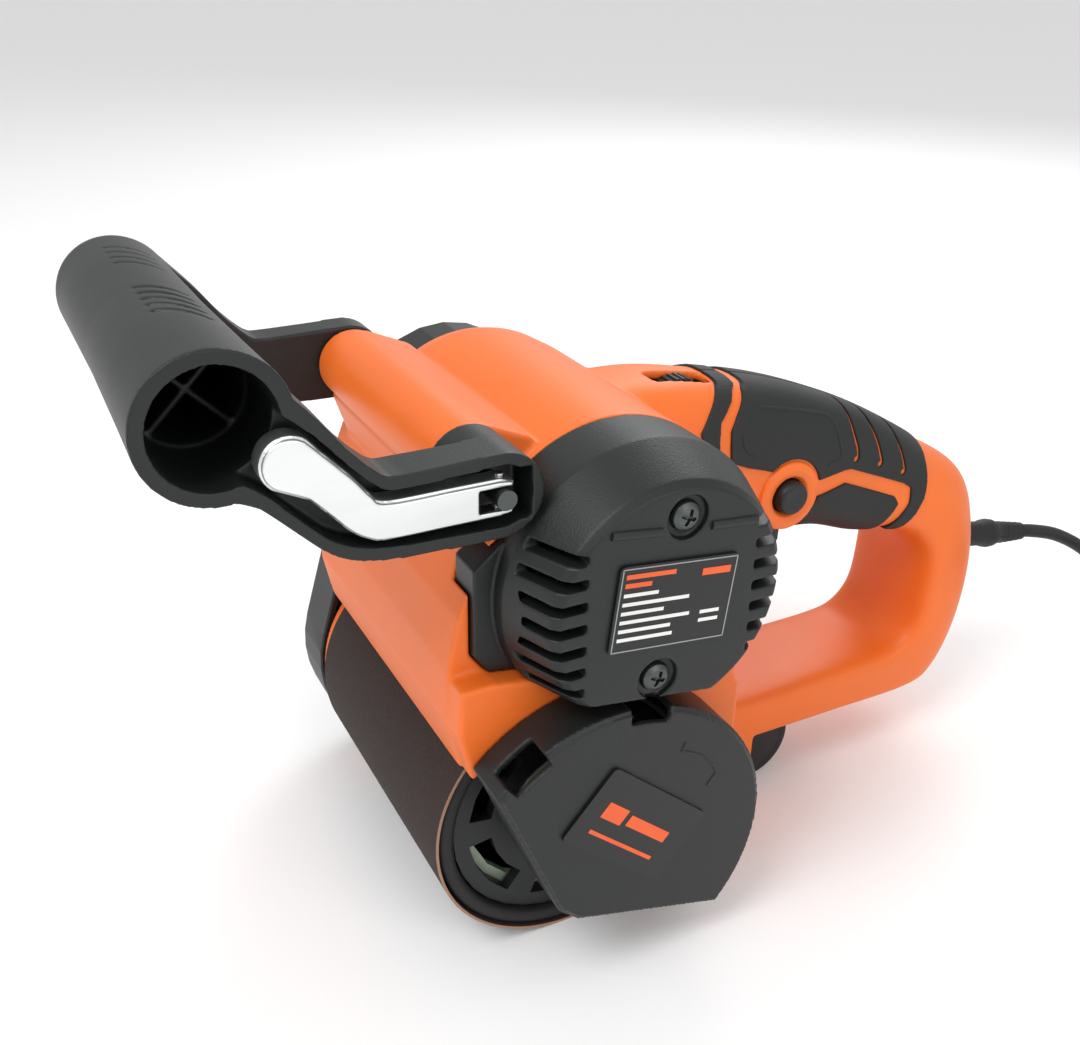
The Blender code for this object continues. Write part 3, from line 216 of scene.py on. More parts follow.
ORANGE = moulded_plastic("orange_plastic", (0.80, 0.150, 0.016), 0.46, 2200.0, 0.22, spread=0.03)
BLACK = moulded_plastic("black_plastic", (0.0085, 0.0100, 0.0100), 0.46, 1700.0, 0.42, 0.00018, 0.15)
SOFT = moulded_plastic("soft_grip", (0.0100, 0.0112, 0.0110), 0.62, 2600.0, 0.30, spread=0.10)
RUBBER = moulded_plastic("rubber", (0.0075, 0.0080, 0.0080), 0.60, 1500.0, 0.35, spread=0.15)
HUB = moulded_plastic("nylon", (0.42, 0.50, 0.38), 0.42, 1200.0, 0.15, spread=0.08)
LABEL = moulded_plastic("label_film", (0.0070, 0.0078, 0.0080), 0.34, 900.0, 0.06, spread=0.08)
ORANGE_PRINT = moulded_plastic("orange_print", (0.80, 0.11, 0.02), 0.45, 900.0, 0.05)
WHITE_PRINT = moulded_plastic("white_print", (0.78, 0.78, 0.76), 0.45, 900.0, 0.05)
FRAME_PRINT = moulded_plastic("grey_print", (0.30, 0.31, 0.31), 0.45, 900.0, 0.05)
SLEEVE_EDGE = moulded_plastic("sleeve_edge", (0.36, 0.20, 0.13), 0.8, 1500.0, 0.3)
BRIGHT_STEEL = metal("zinc_plated_steel", (0.74, 0.76, 0.75), 0.38, 420.0, (0.25, 1.0, 1.0), 0.10)
DARK_STEEL = metal("dark_steel", (0.10, 0.11, 0.105), 0.42, 1100.0, (1.0, 1.0, 1.0), 0.35)
PLAIN_STEEL = metal("turned_steel", (0.62, 0.62, 0.60), 0.32, 700.0, (1.0, 0.2, 1.0))
COPPER = metal("copper_wire", (0.70, 0.30, 0.14), 0.38, 900.0, (1.0, 0.1, 1.0), 0.4)
ALUMINIUM = metal("aluminium", (0.70, 0.71, 0.72), 0.36, 600.0, (1.0, 0.3, 1.0))
CARBON = moulded_plastic("carbon", (0.03, 0.03, 0.03), 0.6, 1800.0, 0.4)
ABRASIVE = grit("abrasive_cloth", (0.020, 0.010, 0.008))

# ---------------------------------------------------------------- shapes

ON_AXIS = 1e-7
INLAY_DEPTH = 0.0003
INLAY_STATIONS = (-1.0, -0.8, -0.4, 0.0, 0.4, 0.8, 1.0)
RAY_START_Y = -0.2


def new_object(name, mesh):
    obj = bpy.data.objects.new(name, mesh)
    bpy.context.scene.collection.objects.link(obj)
    return obj


def from_bmesh(name, shape):
    bmesh.ops.recalc_face_normals(shape, faces=shape.faces)
    mesh = bpy.data.meshes.new(name)
    shape.to_mesh(mesh)
    shape.free()
    return new_object(name, mesh)


def turned(name, profile, axis=(0.0, 0.0), steps=96, hollow=False):
    """Revolve (radius, y) points about a line along Y. A closed profile makes a ring."""
    shape = bmesh.new()
    rows = []
    for radius, along in profile:
        if radius < ON_AXIS:
            rows.append([shape.verts.new((axis[0], along, axis[1]))])
            continue
        angles = [2 * math.pi * i / steps for i in range(steps)]
        spots = [(axis[0] + radius * math.cos(a), along, axis[1] + radius * math.sin(a)) for a in angles]
        rows.append([shape.verts.new(spot) for spot in spots])
    pairs = list(zip(rows, rows[1:])) + ([(rows[-1], rows[0])] if hollow else [])
    for low, high in pairs:
        for i in range(steps):
            j = (i + 1) % steps
            corners = [low[i % len(low)], low[j % len(low)], high[j % len(high)], high[i % len(high)]]
            unique = list(dict.fromkeys(corners))
            if len(unique) > 2:
                shape.faces.new(unique)
    return from_bmesh(name, shape)


def disc(name, radius, near, far, axis, steps=96):
    return turned(name, [(0.0, far), (radius, far), (radius, near), (0.0, near)], axis, steps)


def ring(name, outer, inner, near, far, axis, steps=96):
    profile = [(inner, far), (outer, far), (outer, near), (inner, near)]
    return turned(name, profile, axis, steps, hollow=True)


def slab(name, outline, near, far):
    """Extrude a closed (x, z) outline between two stations along Y."""
    shape = bmesh.new()
    first = [shape.verts.new((x, near, z)) for x, z in outline]
    last = [shape.verts.new((x, far, z)) for x, z in outline]
    shape.faces.new(first)
    shape.faces.new(reversed(last))
    for i in range(len(outline)):
        j = (i + 1) % len(outline)
        shape.faces.new((first[i], last[i], last[j], first[j]))
    return from_bmesh(name, shape)


def block(name, centre, size, tilt=0.0):
    """A box, turned about Y."""
    shape = bmesh.new()
    bmesh.ops.create_cube(shape, size=1.0)
    bmesh.ops.scale(shape, vec=size, verts=shape.verts)
    bmesh.ops.rotate(shape, matrix=Matrix.Rotation(tilt, 3, "Y"), verts=shape.verts)
    bmesh.ops.translate(shape, vec=centre, verts=shape.verts)
    return from_bmesh(name, shape)


def bar(name, start, end, radius, segments=32):
    """A round bar between two points."""
    first, last = Vector(start), Vector(end)
    shape = bmesh.new()
    bmesh.ops.create_cone(shape, cap_ends=True, segments=segments, radius1=radius, radius2=radius,
                          depth=(last - first).length)
    turn = (last - first).to_track_quat("Z", "Y").to_matrix()
    bmesh.ops.rotate(shape, matrix=turn, verts=shape.verts)
    bmesh.ops.translate(shape, vec=(first + last) / 2, verts=shape.verts)
    return from_bmesh(name, shape)


def arc(axis, radius, start, end, count):
    """Points on a circle in the XZ plane, angles in degrees from +X towards +Z."""
    angles = [math.radians(start + (end - start) * i / (count - 1)) for i in range(count)]
    return [(axis[0] + radius * math.cos(a), axis[1] + radius * math.sin(a)) for a in angles]


def smooth_line(points, per_span=6):
    """A smooth curve through the points, of any dimension."""
    known = [Vector(p) for p in points]
    ends = [known[0] * 2 - known[1]] + known + [known[-1] * 2 - known[-2]]
    result = []
    for step in range(len(known) - 1):
        a, b, c, d = ends[step:step + 4]
        for i in range(per_span):
            t = i / per_span
            result.append(0.5 * (2 * b + (c - a) * t + (2 * a - 5 * b + 4 * c - d) * t * t
                                 + (3 * b - a - 3 * c + d) * t * t * t))
    return result + [known[-1]]


def band(points, width):
    """Closed outline of a stripe of one width along a smooth (x, z) line."""
    line = smooth_line(points)
    left, right = [], []
    for i, here in enumerate(line):
        ahead = (line[min(i + 1, len(line) - 1)] - line[max(i - 1, 0)]).normalized()
        side = Vector((-ahead.y, ahead.x)) * (width / 2)
        left.append(tuple(here + side))
        right.append(tuple(here - side))
    return left + right[::-1]


def loft(name, rings):
    """A closed body through rings of points, capped at both ends."""
    shape = bmesh.new()
    rows = [[shape.verts.new(point) for point in points] for points in rings]
    for low, high in zip(rows, rows[1:]):
        for i, vertex in enumerate(low):
            j = (i + 1) % len(low)
            shape.faces.new((vertex, low[j], high[j], high[i]))
    shape.faces.new(rows[0])
    shape.faces.new(reversed(rows[-1]))
    return from_bmesh(name, shape)


def settle(obj):
    """Make the modifiers' result the object's own mesh."""
    evaluated = obj.evaluated_get(bpy.context.evaluated_depsgraph_get())
    mesh = bpy.data.meshes.new_from_object(evaluated)
    obj.modifiers.clear()
    old = obj.data
    obj.data = mesh
    bpy.data.meshes.remove(old)


def combine(obj, operation, *others):
    """Boolean the other objects into the first, and use them up."""
    for other in others:
        modifier = obj.modifiers.new(operation, "BOOLEAN")
        modifier.operation = operation
        modifier.solver = "MANIFOLD"
        modifier.object = other
    settle(obj)
    for other in others:
        bpy.data.objects.remove(other)
    return obj


def cut(obj, *others):
    return combine(obj, "DIFFERENCE", *others)


def join(obj, *others):
    return combine(obj, "UNION", *others)


def mould(obj, voxel, rounds, faces):
    """Give every edge the small radius that a moulding has, and keep the mesh below a number of triangles."""
    remesh = obj.modifiers.new("skin", "REMESH")
    remesh.mode = "VOXEL"
    remesh.voxel_size = voxel
    settle(obj)
    soften = obj.modifiers.new("soften", "SMOOTH")
    soften.factor = 0.5
    soften.iterations = rounds
    settle(obj)
    count = len(obj.data.polygons) * 2
    if count > faces:
        thin = obj.modifiers.new("thin", "DECIMATE")
        thin.ratio = faces / count
        settle(obj)
    for polygon in obj.data.polygons:
        polygon.use_smooth = True
    return obj


def shade(obj, degrees=35.0):
    """Smooth shading, with edges sharper than the angle kept crisp."""
    for polygon in obj.data.polygons:
        polygon.use_smooth = True
    obj.data.set_sharp_from_angle(angle=math.radians(degrees))
    return obj


def place(obj, mat, body, *nodes, slot=None):
    """Move a finished piece from design coordinates to the frame and let it ride."""
    obj.data.materials.clear()
    obj.data.materials.append(mat)
    obj.data.transform(Matrix.Translation(OFFSET))
    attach(obj, body)
    if nodes:
        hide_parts(*nodes)
    return obj


def surface_of(obj):
    """A tree that rays can be cast at, taken before the piece is placed, so in design coordinates."""
    verts = [v.co.copy() for v in obj.data.vertices]
    return BVHTree.FromPolygons(verts, [list(p.vertices) for p in obj.data.polygons])


def inlay(name, points, width, lift, tree, mat, body):
    """A raised line laid on a surface that faces -Y, following a smooth (x, z) line."""
    line = smooth_line(points, 8)
    shape = bmesh.new()
    rows = []
    for i, here in enumerate(line):
        ahead = (line[min(i + 1, len(line) - 1)] - line[max(i - 1, 0)]).normalized()
        side = Vector((-ahead.y, ahead.x)) * (width / 2)
        top, low = [], []
        for share in INLAY_STATIONS:
            spot = here + side * share
            hit = tree.ray_cast(Vector((spot.x, RAY_START_Y, spot.y)), Vector((0.0, 1.0, 0.0)))[0]
            if hit is None:
                break
            crown = lift * (1.0 - share ** 4)
            top.append(shape.verts.new((spot.x, hit.y - crown, spot.y)))
            low.append(shape.verts.new((spot.x, hit.y + INLAY_DEPTH, spot.y)))
        if len(top) == len(INLAY_STATIONS):
            rows.append(top + low[::-1])
    for first, last in zip(rows, rows[1:]):
        for i in range(len(first)):
            j = (i + 1) % len(first)
            shape.faces.new((first[i], first[j], last[j], last[i]))
    shape.faces.new(rows[0])
    shape.faces.new(reversed(rows[-1]))
    bmesh.ops.delete(shape, geom=[v for v in shape.verts if not v.link_faces], context="VERTS")
    obj = from_bmesh(name, shape)
    shade(obj, 50.0)
    return place(obj, mat, body)


# ---------------------------------------------------------------- housing

# Sections of the D-handle from the front of the grip, round the rear, to the front end of the lower bar:
# outer and inner point as (x, z), half width, where it is widest, and the powers that shape its outer and
# inner half (1 is an ellipse, towards 0 a box)
HANDLE_STATIONS = [
    ((0.022, 0.1620), (0.030, 0.098), 0.022, 0.5, 0.62, 0.62),
    ((0.048, 0.1615), (0.056, 0.096), 0.022, 0.5, 0.62, 0.62),
    ((0.070, 0.1580), (0.074, 0.098), 0.020, 0.5, 0.70, 0.62),
    ((0.092, 0.153), (0.092, 0.100), 0.0185, 0.5, 0.75, 0.62),
    ((0.115, 0.145), (0.113, 0.099), 0.0185, 0.5, 0.75, 0.62),
    ((0.138, 0.135), (0.133, 0.0925), 0.0185, 0.5, 0.75, 0.62),
    ((0.163, 0.121), (0.148, 0.0905), 0.020, 0.42, 0.85, 0.60),
    ((0.187, 0.106), (0.159, 0.086), 0.021, 0.35, 0.95, 0.55),
    ((0.1965, 0.085), (0.165, 0.077), 0.022, 0.3, 1.0, 0.50),
    ((0.2000, 0.062), (0.166, 0.062), 0.022, 0.27, 1.0, 0.45),
    ((0.196, 0.040), (0.164, 0.049), 0.022, 0.32, 0.95, 0.40),
    ((0.183, 0.0245), (0.157, 0.0415), 0.022, 0.4, 0.60, 0.35),
    ((0.167, 0.0206), (0.146, 0.0395), 0.022, 0.5, 0.30, 0.34),
    ((0.130, 0.0202), (0.125, 0.039), 0.022, 0.5, 0.30, 0.34),
    ((0.091, 0.0203), (0.090, 0.0385), 0.022, 0.5, 0.30, 0.34),
    ((0.060, 0.0202), (0.062, 0.042), 0.022, 0.5, 0.30, 0.34),
    ((0.050, 0.0206), (0.050, 0.054), 0.022, 0.5, 0.30, 0.34),
]
SECTION_POINTS = 64


def signed_power(value, power):
    return math.copysign(abs(value) ** power, value)


def handle_sections(grow, first=0, last=len(HANDLE_STATIONS)):
    """Cross-sections of the D-handle, read off smooth curves through the stations and grown outwards."""
    flat = [Vector((*outer, *inner)) for outer, inner, *_ in HANDLE_STATIONS[first:last]]
    rest = [Vector(station[2:]) for station in HANDLE_STATIONS[first:last]]
    return [handle_section(line, shape, grow) for line, shape in zip(smooth_line(flat), smooth_line(rest))]


def handle_section(line, shape, grow):
    half_width, belly, outer_round, inner_round = shape
    outer = Vector((line[0], 0.0, line[1]))
    inner = Vector((line[2], 0.0, line[3]))
    up = (outer - inner).normalized()
    outer += up * grow
    inner -= up * grow
    middle = inner.lerp(outer, belly)
    points = []
    for i in range(SECTION_POINTS):
        angle = 2 * math.pi * i / SECTION_POINTS
        power = outer_round if math.sin(angle) > 0 else inner_round
        side = signed_power(math.cos(angle), power) * (half_width + grow)
        lift = signed_power(math.sin(angle), power)
        reach = (outer - middle).length if lift > 0 else (inner - middle).length
        points.append(middle + up * (lift * reach) + Vector((0.0, side, 0.0)))
    return points


BODY_OUTLINE = [(-0.0374, 0.0738), (-0.0387, 0.0790), (-0.0410, 0.0900), (-0.0403, 0.1060), (-0.0370, 0.1220),
                (-0.0310, 0.1370), (-0.0240, 0.1480), (0.0130, 0.1500), (0.0540, 0.1150), (0.0580, 0.0950),
                (0.0560, 0.0750), (0.0540, 0.0500), (0.0530, 0.0240), (0.0440, 0.0240)]
CHEEK_OUTLINE = [(-0.0369, 0.0744), (-0.0381, 0.0790), (-0.0408, 0.0900), (-0.0399, 0.1040), (0.040, 0.1040),
                 (0.0522, 0.0800), (0.0522, 0.0400)]
CAP_TILT = math.radians(8.3)
WALL = 0.003
FAR_WALL = 0.0506
BOSS_NEAR = -0.038
RAIL_INNER = 0.0400
CAP_JOINT = -0.0403
# The handle is hollow along this many of its stations, and the soft pieces cover the stations in the range
HOLLOW_STATIONS = 15
PAD_STATIONS = (1, 10)


def cap_front(grow):
    """The cap's square front corner and, grown by a gap, the housing's seat for it."""
    return [(-0.0335 - grow, 0.1100 - grow), (-0.0335 - grow, 0.1360 + grow), (-0.0250, 0.1430 + grow),
            (0.0130, 0.1430 + grow), (0.0130, 0.0970 - grow), (-0.0237, 0.0970 - grow)]


def housing_skin():
    """The outer shape: barrel, body block, cheek, guard rail, boss, snout, D-handle and roller skirts."""
    barrel = [(0.0, 0.0560), (0.0350, 0.0560), (0.0385, 0.0530), (0.0402, 0.0470), (0.0410, 0.0340),
              (0.0410, -0.0405), (0.0, -0.0405)]
    body = turned("housing_shell", barrel, MOTOR, 160)
    rail = ring("rail", 0.0482, RAIL_INNER, -0.0597, -0.0495, DRUM, 160)
    upper_side = [(-0.0345, 0.0760), (-0.060, 0.120), (0.060, 0.120), (0.060, 0.0305)]
    combine(rail, "INTERSECT", slab("rail_keep", upper_side, -0.070, -0.040))
    web = [(-0.036, 0.1500), (-0.024, 0.1700), (-0.010, 0.1640), (0.013, 0.140), (-0.030, 0.132)]
    skirt = [(0.0680, 0.0300), (0.0760, 0.0080), (0.0840, 0.0048), (0.0913, 0.0050), (0.0913, 0.0300)]
    hanger = [(0.0870, 0.0300), (0.0884, 0.0120), (0.0944, 0.0095), (0.1004, 0.0120), (0.1018, 0.0300)]
    return join(body, slab("block_body", BODY_OUTLINE, -0.050, 0.057),
                slab("cheek", CHEEK_OUTLINE, -0.058, -0.049), rail,
                disc("far_disc", 0.043, FAR_WALL - 0.001, 0.0566, DRUM),
                disc("snout", 0.0135, 0.010, 0.054, DRUM),
                disc("boss", 0.0108, BOSS_NEAR, 0.0494, BOSS),
                slab("boss_web", web, BOSS_NEAR + 0.0005, 0.0490),
                loft("handle", handle_sections(0.0)), slab("skirt_near", skirt, -0.0219, -0.0189),
                slab("skirt_far", skirt, 0.0189, 0.0219), slab("hanger", hanger, -0.0024, 0.0024))


def housing_hollow():
    """The space inside: the motor's bore and the grip's inside, clear of the fender and the rod's tube."""
    hollow = disc("hollow", 0.0365, -0.041, FAR_WALL, MOTOR)
    join(hollow, loft("grip_hollow", handle_sections(-WALL, 0, HOLLOW_STATIONS)))
    return cut(hollow, disc("fender", 0.0495, -0.060, 0.060, DRUM),
               disc("rod_tube", 0.0075, -0.060, 0.060, BOSS))


def housing_shell():
    """Both mouldings of the housing, with the drum bay, the cap seat and the holes of the controls."""
    shell = housing_skin()
    bay = cut(disc("bay", 0.0465, -0.062, 0.0505, DRUM, 128), disc("bay_snout", 0.0137, 0.005, 0.060, DRUM))
    seat = disc("cap_seat", 0.0413, -0.080, -0.040, MOTOR, 160)
    join(seat, slab("cap_block", cap_front(0.0003), -0.080, -0.0398))
    cut(seat, block("cap_floor", (0.0102, -0.055, 0.0780), (0.130, 0.080, 0.0396), CAP_TILT))
    cut(shell, housing_hollow(), bay, seat,
        disc("rod_bore", 0.0031, -0.060, 0.060, BOSS),
        disc("button_bore", 0.0062, -0.030, -0.010, BUTTON, 64),
        disc("drum_bore", 0.0111, 0.005, 0.060, DRUM, 64),
        disc("shaft_bore", 0.0096, 0.049, 0.060, MOTOR, 64),
        block("dial_slot", (DIAL[0], -0.004, 0.156), (0.0215, 0.0075, 0.024)),
        block("trigger_slot", (0.0905, 0.0, 0.099), (0.0275, 0.0186, 0.020)),
        disc("roller_bay_near", 0.0176, -0.0184, -0.0024, ROLLER, 64),
        disc("roller_bay_far", 0.0176, 0.0024, 0.0184, ROLLER, 64),
        bar("gland_hole", (0.180, 0.0, 0.0741), (0.225, 0.0, 0.0661), 0.0054))
    mould(shell, 0.0007, 5, 150000)
    place(shell, ORANGE, "housing", "housing_near", "housing_far", slot="orange")


# ---------------------------------------------------------------- soft grips

# Outlines of the soft pieces and lines on them, as (x, z). The main panel's outline is its front, an arc
# round the button, its hook and its rear.
BAND_OUTLINE = [(0.0697, 0.1700), (0.0697, 0.1575), (0.0678, 0.1565), (0.0657, 0.1548), (0.0614, 0.1509),
                (0.0575, 0.1465), (0.0578, 0.1420), (0.0600, 0.1340), (0.0652, 0.1340), (0.0649, 0.1423),
                (0.0657, 0.1479), (0.0714, 0.1527), (0.0739, 0.1552), (0.0765, 0.1562), (0.0770, 0.1700)]
PANEL_FRONT = [(0.0815, 0.1700), (0.0810, 0.1555), (0.0786, 0.1546), (0.0767, 0.1522), (0.0730, 0.1486),
               (0.0699, 0.1445), (0.0696, 0.1396), (0.0699, 0.1344), (0.0769, 0.1312), (0.0839, 0.1288)]
PANEL_HOOK = [(0.1190, 0.1218), (0.1222, 0.1217), (0.1470, 0.1118), (0.1505, 0.1095), (0.1508, 0.1035),
              (0.1445, 0.0930)]
PANEL_REAR = [(0.1480, 0.0905), (0.1541, 0.0986), (0.1571, 0.1045), (0.1582, 0.1103), (0.1590, 0.1170),
              (0.1615, 0.1260), (0.1680, 0.1360), (0.1500, 0.1700)]
LOWER_PANEL = [(0.1095, 0.1140), (0.1206, 0.1168), (0.1438, 0.1072), (0.1458, 0.1042), (0.1395, 0.0925),
               (0.1330, 0.0850), (0.1000, 0.0880), (0.0960, 0.0960), (0.0965, 0.1035)]
RING_OUTER = 0.0130
GROOVES = [[(0.1229, 0.1480), (0.1229, 0.1409), (0.1230, 0.1340), (0.1243, 0.1286), (0.1246, 0.1249)],
           [(0.1322, 0.1430), (0.1325, 0.1365), (0.1332, 0.1325), (0.1343, 0.1283), (0.1360, 0.1211)],
           [(0.1440, 0.1370), (0.1450, 0.1294), (0.1455, 0.1255), (0.1461, 0.1224), (0.1470, 0.1162)]]
FRAME_LINE = [(0.0829, 0.1495), (0.1071, 0.1432), (0.1135, 0.1400), (0.1160, 0.1320), (0.1165, 0.1268),
              (0.1115, 0.1255)]
FRAME_LEFT = [(0.0829, 0.1495), (0.0752, 0.1430), (0.0756, 0.1378), (0.0800, 0.1345)]
PAD_PROUD = 0.0009
PAD_SUNK = 0.0012
GROOVE_WIDTH = 0.0011


def grip_pad(name, outline, side, extra_cuts=()):
    """A piece of soft skin on one side of the D-handle, standing a little proud of the orange."""
    near, far = (-0.031, -0.0002) if side < 0 else (0.0002, 0.031)
    pad = slab(name, outline, near, far)
    combine(pad, "INTERSECT", loft("skin", handle_sections(PAD_PROUD, *PAD_STATIONS)))
    cut(pad, loft("core", handle_sections(-PAD_SUNK, *PAD_STATIONS)), *extra_cuts)
    return mould(pad, 0.00036, 3, 22000)


def groove_cuts(side):
    """Narrow grooves down the panel, each with a wider round end."""
    near, far = (-0.031, -0.001) if side < 0 else (0.001, 0.031)
    cuts = [slab("groove", band(line, GROOVE_WIDTH), near, far) for line in GROOVES]
    for line in GROOVES:
        end_x, end_z = line[-1]
        cuts.append(disc("groove_end", GROOVE_WIDTH, near, far, (end_x - 0.0008, end_z), 24))
    return cuts


def soft_grips():
    """Panel, band and palm piece on each side, and the orange collar round the lock button."""
    ring_arc = arc(BUTTON, RING_OUTER, 128.0, 14.0, 14)
    panel = PANEL_FRONT + ring_arc + PANEL_HOOK + PANEL_REAR
    lower = LOWER_PANEL + arc(BUTTON, RING_OUTER, -88.0, -12.0, 10)
    for side, name in ((-1, "near"), (1, "far")):
        main = grip_pad(f"grip_{name}_panel", panel, side, groove_cuts(side))
        pads = surface_of(main)
        place(main, SOFT, "housing", f"grip_{name}", slot="soft_grip")
        place(grip_pad(f"grip_{name}_band", BAND_OUTLINE, side), SOFT, "housing", slot="soft_grip")
        place(grip_pad(f"grip_{name}_palm", lower, side), SOFT, "housing", slot="soft_grip")
        if side < 0:
            for line_name, line in (("grip_frame_line", FRAME_LINE), ("grip_frame_left", FRAME_LEFT)):
                inlay(line_name, line, 0.0010, 0.00022, pads, SOFT, "housing")
    collar = [(0.0062, -0.0145), (0.0112, -0.0145), (RING_OUTER - 0.0006, -0.0182), (0.0117, -0.0198),
              (0.0095, -0.0204), (0.0074, -0.0200), (0.0062, -0.0185)]
    rim = mould(turned("button_collar", collar, BUTTON, 96, hollow=True), 0.0003, 3, 20000)
    place(rim, ORANGE, "housing", slot="orange")


# ---------------------------------------------------------------- motor end cap

LABEL_FACE = -0.075
PLATE_FACE = LABEL_FACE - 0.0009
PLATE_THICKNESS = 0.0008
PLATE_CORNER = 0.0016
PRINT_FACE = LABEL_FACE - 0.00102
PRINT_THICKNESS = 0.00012
CAP_SCREWS = [(0.0158, 0.1515), (0.0100, 0.1045)]
CAP_RIBS = {"cap_rib_front": [(-0.0068, 0.1512), (0.0080, 0.1492)],
            "cap_rib_rear": [(0.0232, 0.1478), (0.0376, 0.1465)]}
CROSS_TURN = 0.4
VENT_COUNT = 7
VENT_STEP = 0.0065


def end_cap():
    """Domed motor cap with vent slots down both sides, a square front corner, and seats for its screws."""
    outside = [(0.0, CAP_JOINT), (0.0410, CAP_JOINT), (0.0410, -0.0572), (0.0355, -0.0730),
               (0.0335, LABEL_FACE), (0.0, LABEL_FACE)]
    cap = turned("end_cap_shell", outside, MOTOR, 160)
    join(cap, slab("cap_corner", cap_front(0.0), -0.0520, CAP_JOINT))
    inside = [(0.0, -0.030), (0.0380, -0.030), (0.0380, -0.0560), (0.0300, -0.0705), (0.0, -0.0705)]
    hollow = turned("cap_hollow", inside, MOTOR, 128)
    cut(hollow, block("cap_low_wall", (0.013, -0.055, 0.0815), (0.100, 0.060, 0.039), CAP_TILT),
        disc("cap_post", 0.0125, -0.074, -0.063, MOTOR, 64))
    vents = []
    for index in range(VENT_COUNT):
        height = MOTOR[1] + VENT_STEP * (index - (VENT_COUNT - 1) / 2)
        for side in (-1, 1):
            centre = (MOTOR[0] + side * 0.0320, -0.0690, height)
            vents.append(block("cap_slot", centre, (0.0130, 0.0200, 0.0029)))
    seats = [disc("screw_seat", 0.0062, -0.080, -0.0728, centre, 64) for centre in CAP_SCREWS]
    cut(cap, hollow, block("underside", (0.0102, -0.055, 0.0784), (0.120, 0.060, 0.0396), CAP_TILT),
        disc("bearing_seat", 0.0096, -0.0705, -0.050, MOTOR, 64), *seats, *vents)
    mould(cap, 0.00042, 2, 90000)
    tree = surface_of(cap)
    place(cap, BLACK, "housing", "end_cap", slot="black")
    for name, line in CAP_RIBS.items():
        inlay(name, line, 0.0026, 0.0009, tree, BLACK, "housing")
    for number, centre in enumerate(CAP_SCREWS, 1):
        cross_screw(f"cap_screw_head_{number}", centre, f"cap_screw_{number}")
    label_plate()


def cross_screw(name, centre, node):
    """Domed pan head with a deep cross recess."""
    dome = [(0.0, -0.0756), (0.0016, -0.0755), (0.0030, -0.0750), (0.0040, -0.0742), (0.0044, -0.0732),
            (0.0044, -0.0731), (0.0018, -0.0731), (0.0018, -0.0660), (0.0, -0.0645)]
    head = turned(name, dome, centre, 64)
    arms = [block("recess", (centre[0], -0.0752, centre[1]), (0.0046, 0.0022, 0.0010), tilt)
            for tilt in (CROSS_TURN, CROSS_TURN + math.pi / 2)]
    cut(head, *arms)
    mould(head, 0.00016, 2, 12000)
    place(head, DARK_STEEL, "housing", node, slot="dark_steel")


def plate(name, centre, size, tilt):
    """Thin plate with round corners, lying on a face that looks along -Y."""
    width, height = size[0] / 2 - PLATE_CORNER, size[1] / 2 - PLATE_CORNER
    corners = [(width, height), (-width, height), (-width, -height), (width, -height)]
    outline = []
    for quarter, corner in enumerate(corners):
        outline += arc(corner, PLATE_CORNER, 90 * quarter, 90 * (quarter + 1), 7)
    outline = [turn_point(point, centre, tilt) for point in outline]
    return shade(slab(name, outline, PLATE_FACE, PLATE_FACE + PLATE_THICKNESS))


def turn_point(point, centre, tilt):
    """Turn an (x, z) offset clockwise as seen from -Y by the tilt and move it to the centre."""
    x = point[0] * math.cos(tilt) + point[1] * math.sin(tilt)
    z = -point[0] * math.sin(tilt) + point[1] * math.cos(tilt)
    return (centre[0] + x, centre[1] + z)


def print_rows(name, rows, centre, tilt, body):
    """Plain bars on a plate. A row is its left end, middle height, length, thickness and material."""
    for number, (x, z, wide, high, mat) in enumerate(rows, 1):
        low, top = z - high / 2, z + high / 2
        corners = [(x, low), (x + wide, low), (x + wide, top), (x, top)]
        outline = [turn_point(corner, centre, tilt) for corner in corners]
        place(slab(f"{name}_{number}", outline, PRINT_FACE, PRINT_FACE + PRINT_THICKNESS), mat, body)


def label_plate():
    """Rating label with bars where a label has its lines, and a thin frame round them."""
    centre, tilt = (0.013, 0.1275), math.radians(6.3)
    panel = plate("rating_label", centre, (0.0370, 0.0255), tilt)
    place(panel, LABEL, "housing", "rating_plate", slot="label")
    rows = [(-0.0165, 0.0098, 0.0150, 0.0013, ORANGE_PRINT), (-0.0165, 0.0073, 0.0080, 0.0013, ORANGE_PRINT)]
    for index, wide in enumerate((0.0105, 0.0205, 0.0130, 0.0215, 0.0160, 0.0170)):
        rows.append((-0.0165, 0.0045 - 0.0026 * index, wide, 0.0010, WHITE_PRINT))
    rows += [(0.0070, 0.0085, 0.0090, 0.0020, ORANGE_PRINT), (0.0085, -0.0035, 0.0062, 0.0010, WHITE_PRINT),
             (0.0085, -0.0060, 0.0062, 0.0010, WHITE_PRINT)]
    line = 0.0003
    rows += [(-0.0178, 0.0120, 0.0356, line, FRAME_PRINT), (-0.0178, -0.0120, 0.0356, line, FRAME_PRINT),
             (-0.0178, 0.0, line, 0.0240, FRAME_PRINT), (0.0175, 0.0, line, 0.0240, FRAME_PRINT)]
    print_rows("label_bar", rows, centre, tilt, "housing")


# ---------------------------------------------------------------- side cover

COVER_RADIUS = 0.0508
COVER_CHORD = 0.020
COVER_TILT = math.radians(41.0)
COVER_LINES = {"cover_arc_line": [(0.0200, 0.0772), (0.0266, 0.0735), (0.0312, 0.0685), (0.0330, 0.0651)],
               "cover_arc_tick": [(0.0330, 0.0651), (0.0300, 0.0612)],
               "cover_arc_end": [(0.0200, 0.0772), (0.0212, 0.0796)]}
# Angles about the drum in degrees, from +X towards +Z
WINDOW_MIDDLES = (125.0, 79.0)
WINDOW_HALF = 7.5
WINDOW_OUTER = 0.0560
WINDOW_INNER = 0.0462


